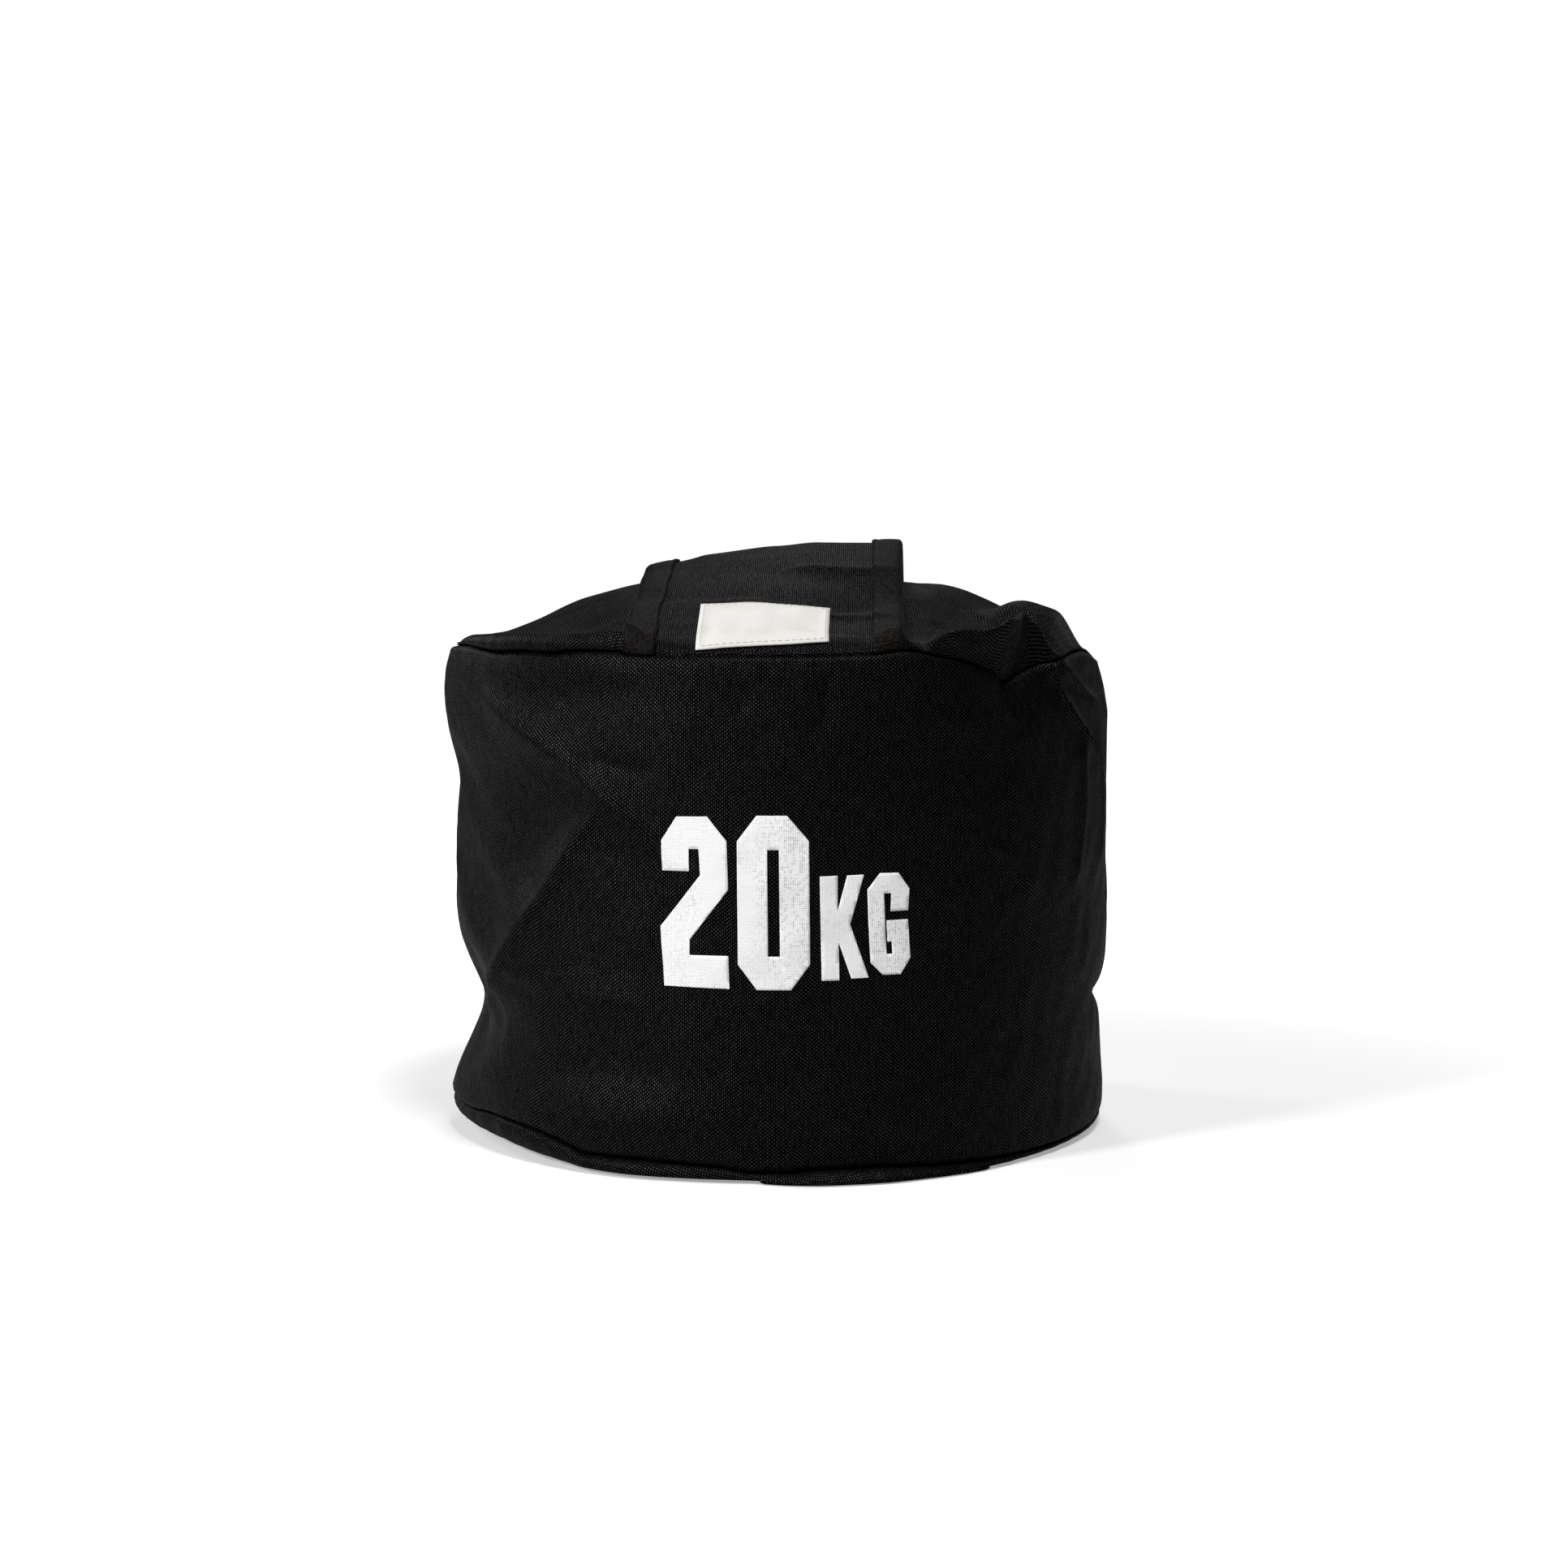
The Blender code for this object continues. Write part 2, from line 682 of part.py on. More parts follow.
def neck_sleeve(under, materials, collection):
    """The sleeve itself, flat, open at its root and at its mouth."""
    half = NECK_THICKNESS / 2
    edge = NECK_WIDTH / 2
    left, right = neck_centre_x() - edge, neck_centre_x() + edge
    section = [(left, -half / 2), (left, half / 2)]
    section += [(x, half) for x in neck_columns()]
    section += [(right, half / 2), (right, -half / 2)]
    section += [(x, -half) for x in reversed(neck_columns())]
    section.append(section[0])

    def place(i, y):
        x, rise = section[i]
        return Vector((x, y, under(x, y) + half + rise))

    draped("fill_neck", range(len(section)), neck_rows(), place, NECK_CLOTH,
           materials["sleeve"], collection, even=True)


def neck_strip(name, above, under, materials, collection):
    """Hook or loop tape inside the sleeve's mouth, on its upper or its lower wall."""
    half = NECK_WIDTH / 2 - 2 * NECK_EDGE
    columns = between(neck_columns(), neck_centre_x() - half, neck_centre_x() + half)
    end = NECK_ROOT_Y + NECK_LENGTH - NECK_CLOTH
    rows = between(neck_rows(), end - NECK_STRIP_WIDTH, end)

    def place(x, y):
        low = under(x, y) + NECK_CLOTH + FIT_GAP
        high = under(x, y) + NECK_THICKNESS - NECK_CLOTH - FIT_GAP
        return Vector((x, y, high if above else low))

    draped(name, columns, rows, place, NECK_STRIP, materials["strip"], collection, up=not above)


def make_welt(materials, collection):
    """Stitched welt round the slot: flat on top, and shaped to the top panel underneath."""
    half_x, half_y = welt_half_length(), welt_half_width()
    block = bmesh.new()
    bmesh.ops.create_grid(block, x_segments=12, y_segments=3, size=0.5)
    lower = list(block.verts)
    made = bmesh.ops.extrude_face_region(block, geom=list(block.faces))["geom"]
    upper = [item for item in made if isinstance(item, bmesh.types.BMVert)]
    for vertex in lower + upper:
        vertex.co.x = neck_centre_x() + 2 * half_x * vertex.co.x
        vertex.co.y = NECK_ROOT_Y + 2 * half_y * vertex.co.y
    for vertex in lower:
        vertex.co.z = dome_z(vertex.co.x, vertex.co.y) + LAY_GAP
    for vertex in upper:
        vertex.co.z = welt_top()
    bmesh.ops.recalc_face_normals(block, faces=block.faces)
    mesh = bpy.data.meshes.new("neck_welt")
    block.to_mesh(mesh)
    block.free()
    return add_object("neck_welt", mesh, materials["binding"], collection)


def slot_cutter(collection):
    bpy.ops.mesh.primitive_cube_add(size=1)
    slot = bpy.context.object
    slot.name = "slot_shape"
    depth = 2 * (CLOTH + WELT_THICKNESS + DOME_RISE + OVERRUN)
    slot.scale = (NECK_WIDTH - 2 * NECK_EDGE, SLOT_WIDTH, depth)
    slot.location = (neck_centre_x(), NECK_ROOT_Y, DOME_TOP_Z)
    hide_helper(slot)
    return slot


def make_neck(materials, collection, helpers, top):
    slot = slot_cutter(helpers)
    cut(top, slot)
    cut(make_welt(materials, collection), slot)
    under = faceted(neck_under, neck_columns(), neck_rows())
    neck_sleeve(under, materials, collection)
    neck_strip("neck_hook_strip", True, under, materials, collection)
    neck_strip("neck_loop_strip", False, under, materials, collection)


# Closure flap


def hinge_z():
    """Height of the flap's upper face along its hinge, clear of the top all along it."""
    samples = [FLAP_HALF * (i / 6 - 1) for i in range(13)]
    return max(dome_z(x, HINGE_Y) for x in samples) + LAY_GAP + FLAP_CLOTH


HINGE_Z = hinge_z()


def ridge_rise(share):
    """Rise of the flap's ridge line at this share of its length, smoothed between points."""
    rows = FLAP_RIDGE_SHARES
    for i, (end, _) in enumerate(rows[1:]):
        if share <= end or i == len(rows) - 2:
            before = rows[max(i - 1, 0)][1]
            low, high = rows[i][1], rows[i + 1][1]
            after = rows[min(i + 2, len(rows) - 1)][1]
            t = (share - rows[i][0]) / (end - rows[i][0])
            bend = (high - before) / 2, (after - low) / 2
            return (
                (2 * t**3 - 3 * t**2 + 1) * low
                + (t**3 - 2 * t**2 + t) * bend[0]
                + (3 * t**2 - 2 * t**3) * high
                + (t**3 - t**2) * bend[1]
            )
    return rows[-1][1]


def flap_tilt(x, y):
    """How the flap drops to its left edge and lifts to its right one over the sleeve."""
    share = (y - HINGE_Y) / FLAP_LENGTH
    rising = smooth_step(share, 0.0, TILT_SHARES[0])
    falling = 1 - smooth_step(share, TILT_SHARES[1], TILT_SHARES[2])
    across = x / FLAP_HALF
    if across < 0:
        return -FLAP_LEFT_DROP * abs(across) ** LEFT_DROP_POWER * rising * falling
    return FLAP_RIGHT_LIFT * smooth_step(across, 0.0, 0.35) * rising * falling


def flap_cover(x, y):
    """Least height of the flap's upper face over the top panel, for what lies under it."""
    bound = FLAP_CLOTH + LAY_GAP
    bound += (BINDING_STACK + FIT_GAP) * smooth_step(y, HINGE_Y, HINGE_Y + BINDING_START)
    neck_start = NECK_ROOT_Y - welt_half_width()
    neck_end = NECK_ROOT_Y + NECK_LENGTH
    over_neck = FLAP_CLOTH + BINDING_STACK + NECK_THICKNESS + 3 * LAY_GAP
    over_welt = over_neck + WELT_THICKNESS + DOME_TOP_Z - dome_z(x, y)
    over_strips = FLAP_CLOTH + 2 * STRIP_CLOTH + 3 * LAY_GAP
    rise = smooth_step(y, neck_start - 2 * welt_half_width(), neck_start)
    if x < neck_centre_x() - NECK_WIDTH / 2 - NECK_EDGE:
        over_neck = over_welt = over_strips
    leave_welt = smooth_step(y, NECK_ROOT_Y + welt_half_width(), NECK_ROOT_Y + 2 * welt_half_width())
    leave_neck = smooth_step(y, neck_end + OVERRUN, neck_end + OVERRUN + STRIP_SETBACK)
    over = over_welt + (over_neck - over_welt) * leave_welt
    over += (over_strips - over) * leave_neck
    steep = 1 / unit_normal(dome_z, x, y).z
    return (bound + (over - bound) * rise) * steep


def flap_z(x, y):
    """Height of the flap's upper face."""
    share = (y - HINGE_Y) / FLAP_LENGTH
    tent = HINGE_Z + FLAP_RISE * ridge_rise(share) + flap_tilt(x, y)
    least = dome_z(x, y) + flap_cover(x, y)
    softness = FLAP_SOFTNESS * smooth_step(share, 0.0, TILT_SHARES[0])
    return (tent + least + math.hypot(tent - least, softness)) / 2


def flap_columns():
    bare = FLAP_HALF - BINDING_WIDTH
    return [-FLAP_CLOTH_HALF] + steps(-bare, bare, FLAP_COLUMNS - 2) + [FLAP_CLOTH_HALF]


def flap_rows():
    return between(steps(HINGE_Y, FLAP_END_Y, FLAP_ROWS), HINGE_Y + FIT_GAP / 2, FLAP_END_Y)


def binding_section(side, share):
    """(distance in from the flap's edge, lift) of a point on an edge binding's outer face."""
    high = BINDING_STACK
    low = -FLAP_CLOTH - BINDING_STACK
    corners = [(BINDING_WIDTH, high), (0.0, high), (0.0, low), (BINDING_WIDTH, low)]
    place = share * 3 if side > 0 else (1 - share) * 3
    i = min(int(place), 2)
    t = place - i
    return (
        corners[i][0] + (corners[i + 1][0] - corners[i][0]) * t,
        corners[i][1] + (corners[i + 1][1] - corners[i][1]) * t,
    )


def side_binding(name, side, surface, materials, collection):
    """Binding folded round the flap's left or right edge. side is -1 or 1."""
    end = FLAP_END_Y - BINDING_WIDTH - 2 * FIT_GAP

    def place(share, y):
        inwards, lift = binding_section(side, share)
        return lying_on(surface, side * (FLAP_HALF - inwards), y, lift)

    rows = between(flap_rows(), HINGE_Y + BINDING_START, end)
    draped(name, steps(0.0, 1.0, 3), rows, place, BINDING_CLOTH, materials["binding"], collection,
           even=True)


def end_binding(surface, materials, collection):
    """Binding folded round the flap's free end."""
    columns = [-FLAP_HALF] + flap_columns()[1:-1] + [FLAP_HALF]

    def place(x, share):
        inwards, lift = binding_section(-1, share)
        return lying_on(surface, x, FLAP_END_Y + BINDING_STACK - inwards, lift)

    draped("flap_binding_end", columns, steps(0.0, 1.0, 3), place, BINDING_CLOTH,
           materials["binding"], collection, even=True)


def root_point(u, v):
    """Lower face of the flap's sewn root: up the front of the roll, then back to the hinge."""
    x = -FLAP_HALF + FLAP_WIDTH * u
    clear = ROLL_RADIUS + LAY_GAP
    azimuth = math.asin(x / ROLL_CENTRE_RADIUS)
    if v < 0.5:
        angle = math.radians(-15 + 105 * 2 * v)
        radius = ROLL_CENTRE_RADIUS + clear * math.cos(angle)
        z = ROLL_CENTRE_Z + clear * math.sin(angle)
        azimuth = math.asin(x / radius)
        return settle(Vector((x, -radius * math.cos(azimuth), z)))
    start = -ROLL_CENTRE_RADIUS * math.cos(azimuth)
    share = 2 * v - 1
    y = start + (HINGE_Y - FIT_GAP / 2 - start) * share
    low = dome_z(x, start) + LAY_GAP
    return Vector((x, y, low + (HINGE_Z - FLAP_CLOTH - low) * share))


def make_strips(surface, materials, collection):
    """Hook strip under the flap's free end, and the loop strip that it grips on the top."""
    end = FLAP_END_Y - STRIP_SETBACK
    columns = between(flap_columns(), -STRIP_LENGTH / 2, STRIP_LENGTH / 2)
    rows = between(flap_rows(), end - STRIP_WIDTH, end)

    def hook(x, y):
        return lying_on(surface, x, y, -FLAP_CLOTH - LAY_GAP)

    draped("flap_hook_strip", columns, rows, hook, STRIP_CLOTH, materials["strip"], collection)

    def loop(x, y):
        return lying_on(dome_z, x, y, LAY_GAP)

    draped("top_loop_strip", columns, steps(rows[0], rows[-1], 5), loop, STRIP_CLOTH,
           materials["strip"], collection, up=True)


def make_flap(materials, collection):
    shares = steps(0.0, 1.0, FLAP_COLUMNS)
    draped("flap_root", shares, steps(0.0, 1.0, 8), root_point, FLAP_CLOTH, materials["shell"],
           collection, up=True)

    surface = faceted(flap_z, flap_columns(), flap_rows())

    def leaf(x, y):
        return Vector((x, y, surface(x, y)))

    draped("closure_flap", flap_columns(), flap_rows(), leaf, FLAP_CLOTH, materials["shell"],
           collection)
    side_binding("flap_binding_left", -1, surface, materials, collection)
    side_binding("flap_binding_right", 1, surface, materials, collection)
    end_binding(surface, materials, collection)
    make_strips(surface, materials, collection)

    left = -LABEL_SHIFT - LABEL_WIDTH / 2
    start = HINGE_Y + LABEL_START

    def label(x, y):
        return lying_on(surface, x, y, LAY_GAP)

    draped("label", between(flap_columns(), left, left + LABEL_WIDTH),
           between(flap_rows(), start, start + LABEL_LENGTH), label, LABEL_CLOTH,
           materials["label"], collection, up=True)


# Scene


def hide_helper(obj):
    """Keeps a cutting or joining shape out of the model."""
    for owner in list(obj.users_collection):
        owner.objects.unlink(obj)
    bpy.data.collections["helper_shapes"].objects.link(obj)
    obj.hide_render = True
    obj.display_type = "WIRE"


def clear_scene():
    for obj in list(bpy.data.objects):
        bpy.data.objects.remove(obj, do_unlink=True)


def new_collection(name):
    collection = bpy.data.collections.new(name)
    bpy.context.scene.collection.children.link(collection)
    return collection


def main():
    clear_scene()
    collection = new_collection("sandbag_trainer")
    helpers = new_collection("helper_shapes")
    materials = make_materials()
    top = make_drum(materials, collection)
    make_filling(materials, collection)
    make_neck(materials, collection, helpers, top)
    make_flap(materials, collection)


main()
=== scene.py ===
"""Looks of the sandbag trainer: a squat drum of coarse black cloth, filled with sand, slumped and
creased, with a bound flap over its top.

Lengths are in metres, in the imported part's frame: +Z is up, the origin is on the floor under the
middle of the bag, and the front faces -Y. Azimuths are in degrees from the front, positive
towards +X. Tables of places give azimuths in degrees and lengths in millimetres.
"""

import math

import bmesh
import bpy
import numpy as np
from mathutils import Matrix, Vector


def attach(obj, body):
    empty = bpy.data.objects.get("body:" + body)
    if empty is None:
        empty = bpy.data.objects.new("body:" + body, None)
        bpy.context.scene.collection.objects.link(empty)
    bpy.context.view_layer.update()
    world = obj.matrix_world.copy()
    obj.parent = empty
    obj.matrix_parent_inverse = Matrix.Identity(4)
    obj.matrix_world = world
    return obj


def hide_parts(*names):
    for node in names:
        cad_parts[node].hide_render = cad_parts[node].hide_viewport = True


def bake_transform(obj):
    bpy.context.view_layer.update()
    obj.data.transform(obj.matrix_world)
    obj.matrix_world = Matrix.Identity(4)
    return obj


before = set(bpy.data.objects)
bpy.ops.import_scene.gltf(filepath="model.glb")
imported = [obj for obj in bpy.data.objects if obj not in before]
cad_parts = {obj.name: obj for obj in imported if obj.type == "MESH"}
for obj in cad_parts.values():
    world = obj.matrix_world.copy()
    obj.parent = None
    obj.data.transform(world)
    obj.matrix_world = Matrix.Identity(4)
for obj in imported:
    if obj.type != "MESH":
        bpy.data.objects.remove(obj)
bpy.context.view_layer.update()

MM = 0.001

# Bag, as the part's source has it
BAG_RADIUS = 0.145
WALL_TOP = 0.2083
CLOTH = 0.0012
ROLL_RADIUS_AT = 0.141
DOME_FOOT = 0.21165
DOME_RISE = 0.027
LINER_TOP = 0.2002
LINER_GAP = 1.6 * MM
LINER_CLOTH = 0.25 * MM
SAND_GAP = 3.2 * MM

# Seams: the radius that the wall's edges curl to, and what is tucked inside
CURL = 0.0027
TUCK = 0.008
TUCK_GAP = 0.0004
SEAM_STEP = 0.0004
SEAM_TAPE_ROOM = 0.5 * MM
SEAM_TAPE_CLOTH = 0.7 * MM
BACK_TAPE_HALF = 0.007
BACK_TAPE_ENDS = (26 * MM, 186 * MM)
BACK_TAPE_CLOTH = 0.6 * MM
BACK_TAPE_GAP = 0.15 * MM

# Flap
FLAP_HALF = 0.055
FLAP_LENGTH = 0.238
FLAP_CLOTH = 0.0016
HINGE_Y = -0.12783
HINGE_Z = 0.21466
FLAP_RISE = 0.0365
FLAP_LEFT_DROP = 0.0114
FLAP_RIGHT_LIFT = 0.0019
FLAP_RIGHT_HOLLOW = 0.0050
FLAP_ROOT_LENGTH = 0.017
FLAP_ROOT_X = -0.0042
FLAP_SLANT = 0.033
FLAP_SOFTNESS = 3 * MM
FLAP_FIRST_CREASE = 12 * MM
# Over the sleeve the flap lies higher, and comes down past its mouth and beside it
COVER_GAP = 1.2 * MM
COVER_SOFTNESS = 0.01 * MM
COVER_END_SLOPE = (4 * MM, 18 * MM)
COVER_SIDE_SLOPE = 8 * MM

# Bindings and their stitches, and the strips of hook and loop
BINDING_WIDTH = 0.012
BINDING_CLOTH = 0.0008
BINDING_LIFT = 0.0009
STITCH_INSETS = (BINDING_WIDTH - 2.2 * MM, 2.6 * MM)
STITCH_MARGIN = 3 * MM
STITCH_LIFT = 0.05 * MM
STRIP_LENGTH = 0.080
STRIP_CLOTH = 0.0012
STRIP_END = HINGE_Y + FLAP_LENGTH - 0.014
STRIP_START = STRIP_END - 0.022
STRIP_TAPE = 0.7 * MM
STRIP_CROWN = 0.25 * MM
STRIP_ROUNDING = 1.2 * MM
HOOK_TAPE_GAP = 0.25 * MM
LOOP_TAPE_LIFT = 0.75 * MM
PILE_INSETS = (2 * MM, 2.4 * MM)
HOOK_START = 0.75 * MM
HOOK_LENGTH = 0.8 * MM
LOOP_START = 0.2 * MM
LOOP_LENGTH = 0.6 * MM
BRISTLE_RADIUS = 0.11 * MM

# Label
LABEL_WIDTH = 0.052
LABEL_LENGTH = 0.042
LABEL_CLOTH = 0.0005
LABEL_SHIFT = 0.0006
LABEL_START = -0.0105
LABEL_SLANT = 0.075
LABEL_LIFT = 0.35 * MM
LABEL_HEM = (2.4 * MM, 3.6 * MM)
LABEL_EDGE = 0.5 * MM
LABEL_LOOSE = (2 * MM, 9 * MM)
LABEL_STITCH_INSET = 1.6 * MM
LABEL_STITCH_LIFT = 0.45 * MM + 1.7 * LABEL_CLOTH
LABEL_STITCH_SIZE = (2.6 * MM, 2.0 * MM, 0.36 * MM)

# Filling sleeve
NECK_X = 0.008
NECK_ROOT_Y = -0.01203
NECK_HALF = 0.038
NECK_LENGTH = 0.066
NECK_CLOTH = 0.0008
NECK_THICKNESS = 0.0041
NECK_FLAT_Z = 0.24015
NECK_GAP = 0.9 * MM
NECK_HEM = (7 * MM, 6 * MM)
NECK_STITCH_ROWS = (1.5 * MM, 6 * MM, 15.5 * MM)
NECK_STITCH_MARGIN = 5 * MM
NECK_STITCH_LIFT = 0.35 * MM
WELT_HALF_LENGTH = 0.042
WELT_HALF_WIDTH = 0.0085
WELT_CLOTH = 0.5 * MM
WELT_GAP = 0.2 * MM
WELT_EDGE = 1.2 * MM
WELT_LIP_PLACE = 2.4 * MM
WELT_LIP_HALF = 1.8 * MM
WELT_SLIT_HALF = 0.7 * MM

# How finely the cloth is divided. The front has narrower columns than the back, in degrees
FRONT_EDGE = 100
FRONT_STEP = 0.45
BACK_STEP = 1.2
HIDDEN_STEP = 2.0
WALL_ROWS = 150
CURL_ROWS = 8
TURN_ROWS = 6
FACE_ROWS = 14
DOME_ROWS = 84
BAND_ROWS = 12
FLOOR_ROWS = 10
FLAP_COLUMNS = 84
FLAP_ROOT_ROWS = 16
FLAP_LEAF_ROWS = 180

# Weave: distance between neighbouring threads across and along the cloth
WARP_PITCH = 0.00088
WEFT_PITCH = 0.00074
CLOTH_RELIEF = 0.10 * MM

# Photograph's camera, and the width of the picture that it was measured in
PHOTO_WIDTH = 1932
FOCAL_PIXELS = 3352
SENSOR_WIDTH = 36.0
CAMERA_PLACE = (0.0036, -1.2, 0.235)
CAMERA_PITCH = 4.2

# Soft lamps: name, place, height of what it is aimed at, diameter, watts
LAMPS = (
    ("key", (-1.32, -1.18, 0.95), 0.12, 0.35, 29.0),
    ("front", (0.28, -0.80, 1.88), 0.12, 0.5, 26.0),
    ("left", (-1.40, 1.00, 0.95), 0.15, 0.4, 9.0),
    ("right", (1.30, 1.20, 0.95), 0.15, 0.5, 3.5),
    ("back", (0.00, 1.30, 1.40), 0.15, 0.6, 3.6),
    ("low_back", (0.00, 1.50, 0.17), 0.12, 0.2, 10.0),
)

# Where the wall is pressed in or swells out:
# azimuth, its half width, height, its half height, how far out
WALL_DENTS = (
    (-84, 27, 53, 25.6, -16.2),
    (-90, 34, 120, 43, -4.7),
    (-88, 20, 154, 14, -4.4),
    (-52, 15, 103, 33, 2.0),
    (-57, 14, 145, 25, -1.0),
    (92, 22, 58, 11.4, -3.6),
    (94, 30, 36, 18, -2.2),
    (80, 34, -2, 9, -2.6),
    (60, 26, 128, 45, 1.5),
    (168, 26, 72, 33, -4.9),
    (-150, 20, 140, 29, -3.8),
    (128, 18, 124, 31, -3.2),
    (-60, 10, 98, 24, -3.6),
    (-45, 8, 130, 17, -2.4),
    (-32, 11, 191, 8, -2.6),
    (-44, 14, 172, 8, 1.2),
    (-26, 12, 41, 9, -1.6),
    (41, 7, 199, 9, -2.0),
    (30, 16, 185, 14, 1.2),
    (10, 14, 28, 14, 1.6),
    (-25, 18, 27, 13, 2.2),
    (114, 12, 170, 30, 1.6),
    (150, 14, 190, 18, -2.4),
    (-118, 12, 180, 20, -2.2),
    (-125, 16, 70, 22, 2.2),
)

# Flat hollows with crisp edges: depth, distance over which it is reached, corners as azimuth and
# height, counterclockwise seen from outside. None is felt further off than the span
FACET_SPAN = 120
WALL_FACETS = (
    (3.6, 32, ((-55, 80), (-28.5, 152), (-55, 190), (-76, 172), (-78, 105))),
    (2.6, 10, ((-54, 40), (-51.5, 55), (-56, 73), (-72, 84), (-80, 50), (-72, 26))),
    (2.2, 12, ((46, 196), (58, 180), (72, 184), (78, 200), (60, 203))),
    (2.6, 16, ((118, 60), (150, 96), (136, 150), (112, 120))),
    (2.8, 16, ((-128, 52), (-108, 90), (-132, 150), (-150, 108))),
    (2.2, 14, ((160, 120), (-176, 136), (-170, 176), (166, 170))),
)

# Ridges and creases: height, half width, course as azimuth and height
WALL_RIDGES = (
    (4.2, 5.4, ((-70, 42), (-56, 70), (-41, 106), (-35.5, 124), (-29.5, 145), (-25.5, 156))),
    (3.0, 5.0, ((-60, 195), (-46, 179), (-36, 166), (-26, 149), (-21, 138))),
    (2.2, 2.8, ((-30, 158), (-22.6, 140), (-17, 124))),
    (-1.2, 2.6, ((-31, 168), (-25, 163), (-18, 161))),
    (1.5, 4.6, ((-56, 80), (-42, 74), (-30, 71), (-16, 70))),
    (1.0, 5.0, ((-60, 24), (-44, 22), (-30, 20), (-12, 24))),
    (3.0, 1.7, ((46.5, 222), (50.5, 206), (54.5, 191), (58, 181), (64, 168), (68, 158))),
    (2.2, 2.2, ((48, 216), (53, 205), (59, 197), (67, 188), (74, 183))),
    (1.5, 3.2, ((60, 186), (61.5, 165), (61, 140), (57, 104))),
    (1.4, 3.2, ((70, 174), (72, 140), (69, 110))),
    (1.2, 3.0, ((33, 134), (42, 124), (48, 108))),
    (-3.0, 3.6, ((100, 56), (84, 57), (68, 62))),
    (-0.8, 5.0, ((-8, 20), (5, 31))),
    (-1.3, 3.4, ((8.6, 203), (8.4, 190), (7.4, 172))),
    (-1.1, 3.4, ((-3, 198), (-6, 182))),
    (0.9, 3.0, ((130, 200), (122, 176), (124, 150))),
    (1.0, 3.0, ((-122, 200), (-110, 178), (-104, 150))),
    (0.9, 3.4, ((174, 40), (160, 62), (156, 92))),
    (0.9, 3.0, ((-160, 34), (-146, 58), (-140, 90))),
)

# Top rim: azimuth, then the seam's height over WALL_TOP, how far in it is drawn, the lip's height
# over the seam, how far out the lip is from BAG_RADIUS, how far the cloth bulges between them, and
# how far in the lip's height is felt
RIM_SEAM, RIM_DRAWN, RIM_LIP_RISE, RIM_LIP_OUT, RIM_BULGE, RIM_FELT = range(1, 7)
RIM = (
    (-172, -1.0, 1.2, 5.0, -4.0, 3.2, 14),
    (-158, -2.2, 1.8, 7.5, -3.0, 3.2, 16),
    (-146, -0.6, 1.2, 8.0, -2.6, 4.0, 18),
    (-134, -3.2, 2.2, 5.0, -3.6, 3.0, 14),
    (-124, -4.0, 3.0, 3.0, -4.6, 2.4, 12),
    (-112, -0.8, 1.8, 3.6, -5.0, 2.4, 14),
    (-94, -0.4, 1.8, 0.8, -8.0, 1.0, 15),
    (-80, 0.0, 1.6, 0.9, -7.4, 1.2, 15),
    (-71, 0.8, 1.2, 2.6, -5.6, 2.2, 14),
    (-66, 1.0, 1.0, 4.2, -4.4, 3.2, 13),
    (-60, 0.1, 0.8, 5.9, -3.4, 4.2, 13),
    (-53, -1.1, 0.8, 7.6, -3.0, 4.6, 13),
    (-46, -0.4, 0.6, 7.4, -3.0, 4.4, 14),
    (-39, -0.9, 0.5, 7.6, -3.0, 4.2, 14),
    (-33, 0.3, 0.3, 7.0, -3.4, 3.4, 14),
    (-27, 0.0, 0.2, 8.4, -4.2, 2.4, 13),
    (-24.4, -0.6, 0.2, 8.0, -5.2, 1.6, 12),
    (-21.6, -1.0, 0.2, 3.6, -4.8, 1.6, 10),
    (-17, -1.2, 0.3, 2.4, -4.4, 1.6, 10),
    (0, -1.4, 0.3, 2.4, -4.4, 1.6, 10),
    (15, -0.8, 0.3, 2.4, -4.4, 1.6, 10),
    (20.0, 0.8, 0.4, 6.6, -4.6, 1.6, 9),
    (22.4, 0.4, 0.6, 4.2, -4.4, 1.4, 8),
    (24.6, -0.6, 0.8, 1.6, -4.0, 1.0, 7),
    (27.2, -2.0, 1.0, 8.4, -2.0, 0.8, 10),
    (30, -3.2, 1.4, 12.0, -0.4, 0.6, 12),
    (34, -5.2, 2.0, 13.6, 1.0, 0.4, 14),
    (37.6, -7.6, 2.8, 17.5, 1.6, 0.4, 15),
    (40.2, -10.2, 3.8, 23.3, 1.2, 0.4, 16),
    (42.4, -13.4, 5.0, 27.2, -0.4, 0.4, 17),
    (44.4, -12.0, 4.6, 26.6, -3.0, 0.4, 17),
    (46.8, -9.2, 3.8, 24.8, -6.0, 0.6, 15),
    (49.0, -7.2, 3.0, 19.0, -5.6, 0.8, 13),
    (51.4, -5.4, 2.2, 10.0, -3.6, 0.8, 12),
    (53.6, -4.8, 1.6, 3.4, -2.4, 1.0, 12),
    (57, -3.4, 1.2, 2.6, -2.6, 1.0, 11),
    (61, -1.6, 1.2, 2.2, -3.2, 1.0, 11),
    (65, -1.0, 1.6, 1.8, -4.4, 1.0, 11),
    (71, -2.4, 2.4, 1.4, -6.4, 1.2, 11),
    (80, -5.0, 3.2, 1.4, -7.6, 1.2, 11),
    (92, -6.4, 3.4, 2.0, -7.0, 1.6, 12),
    (106, -5.0, 2.8, 4.2, -5.4, 2.4, 14),
    (118, -5.0, 3.0, 5.0, -5.0, 2.4, 13),
    (128, -3.0, 2.0, 8.4, -3.4, 2.6, 18),
    (142, -0.8, 1.2, 8.8, -2.6, 3.8, 20),
    (156, -2.4, 1.6, 6.2, -3.2, 3.4, 16),
)

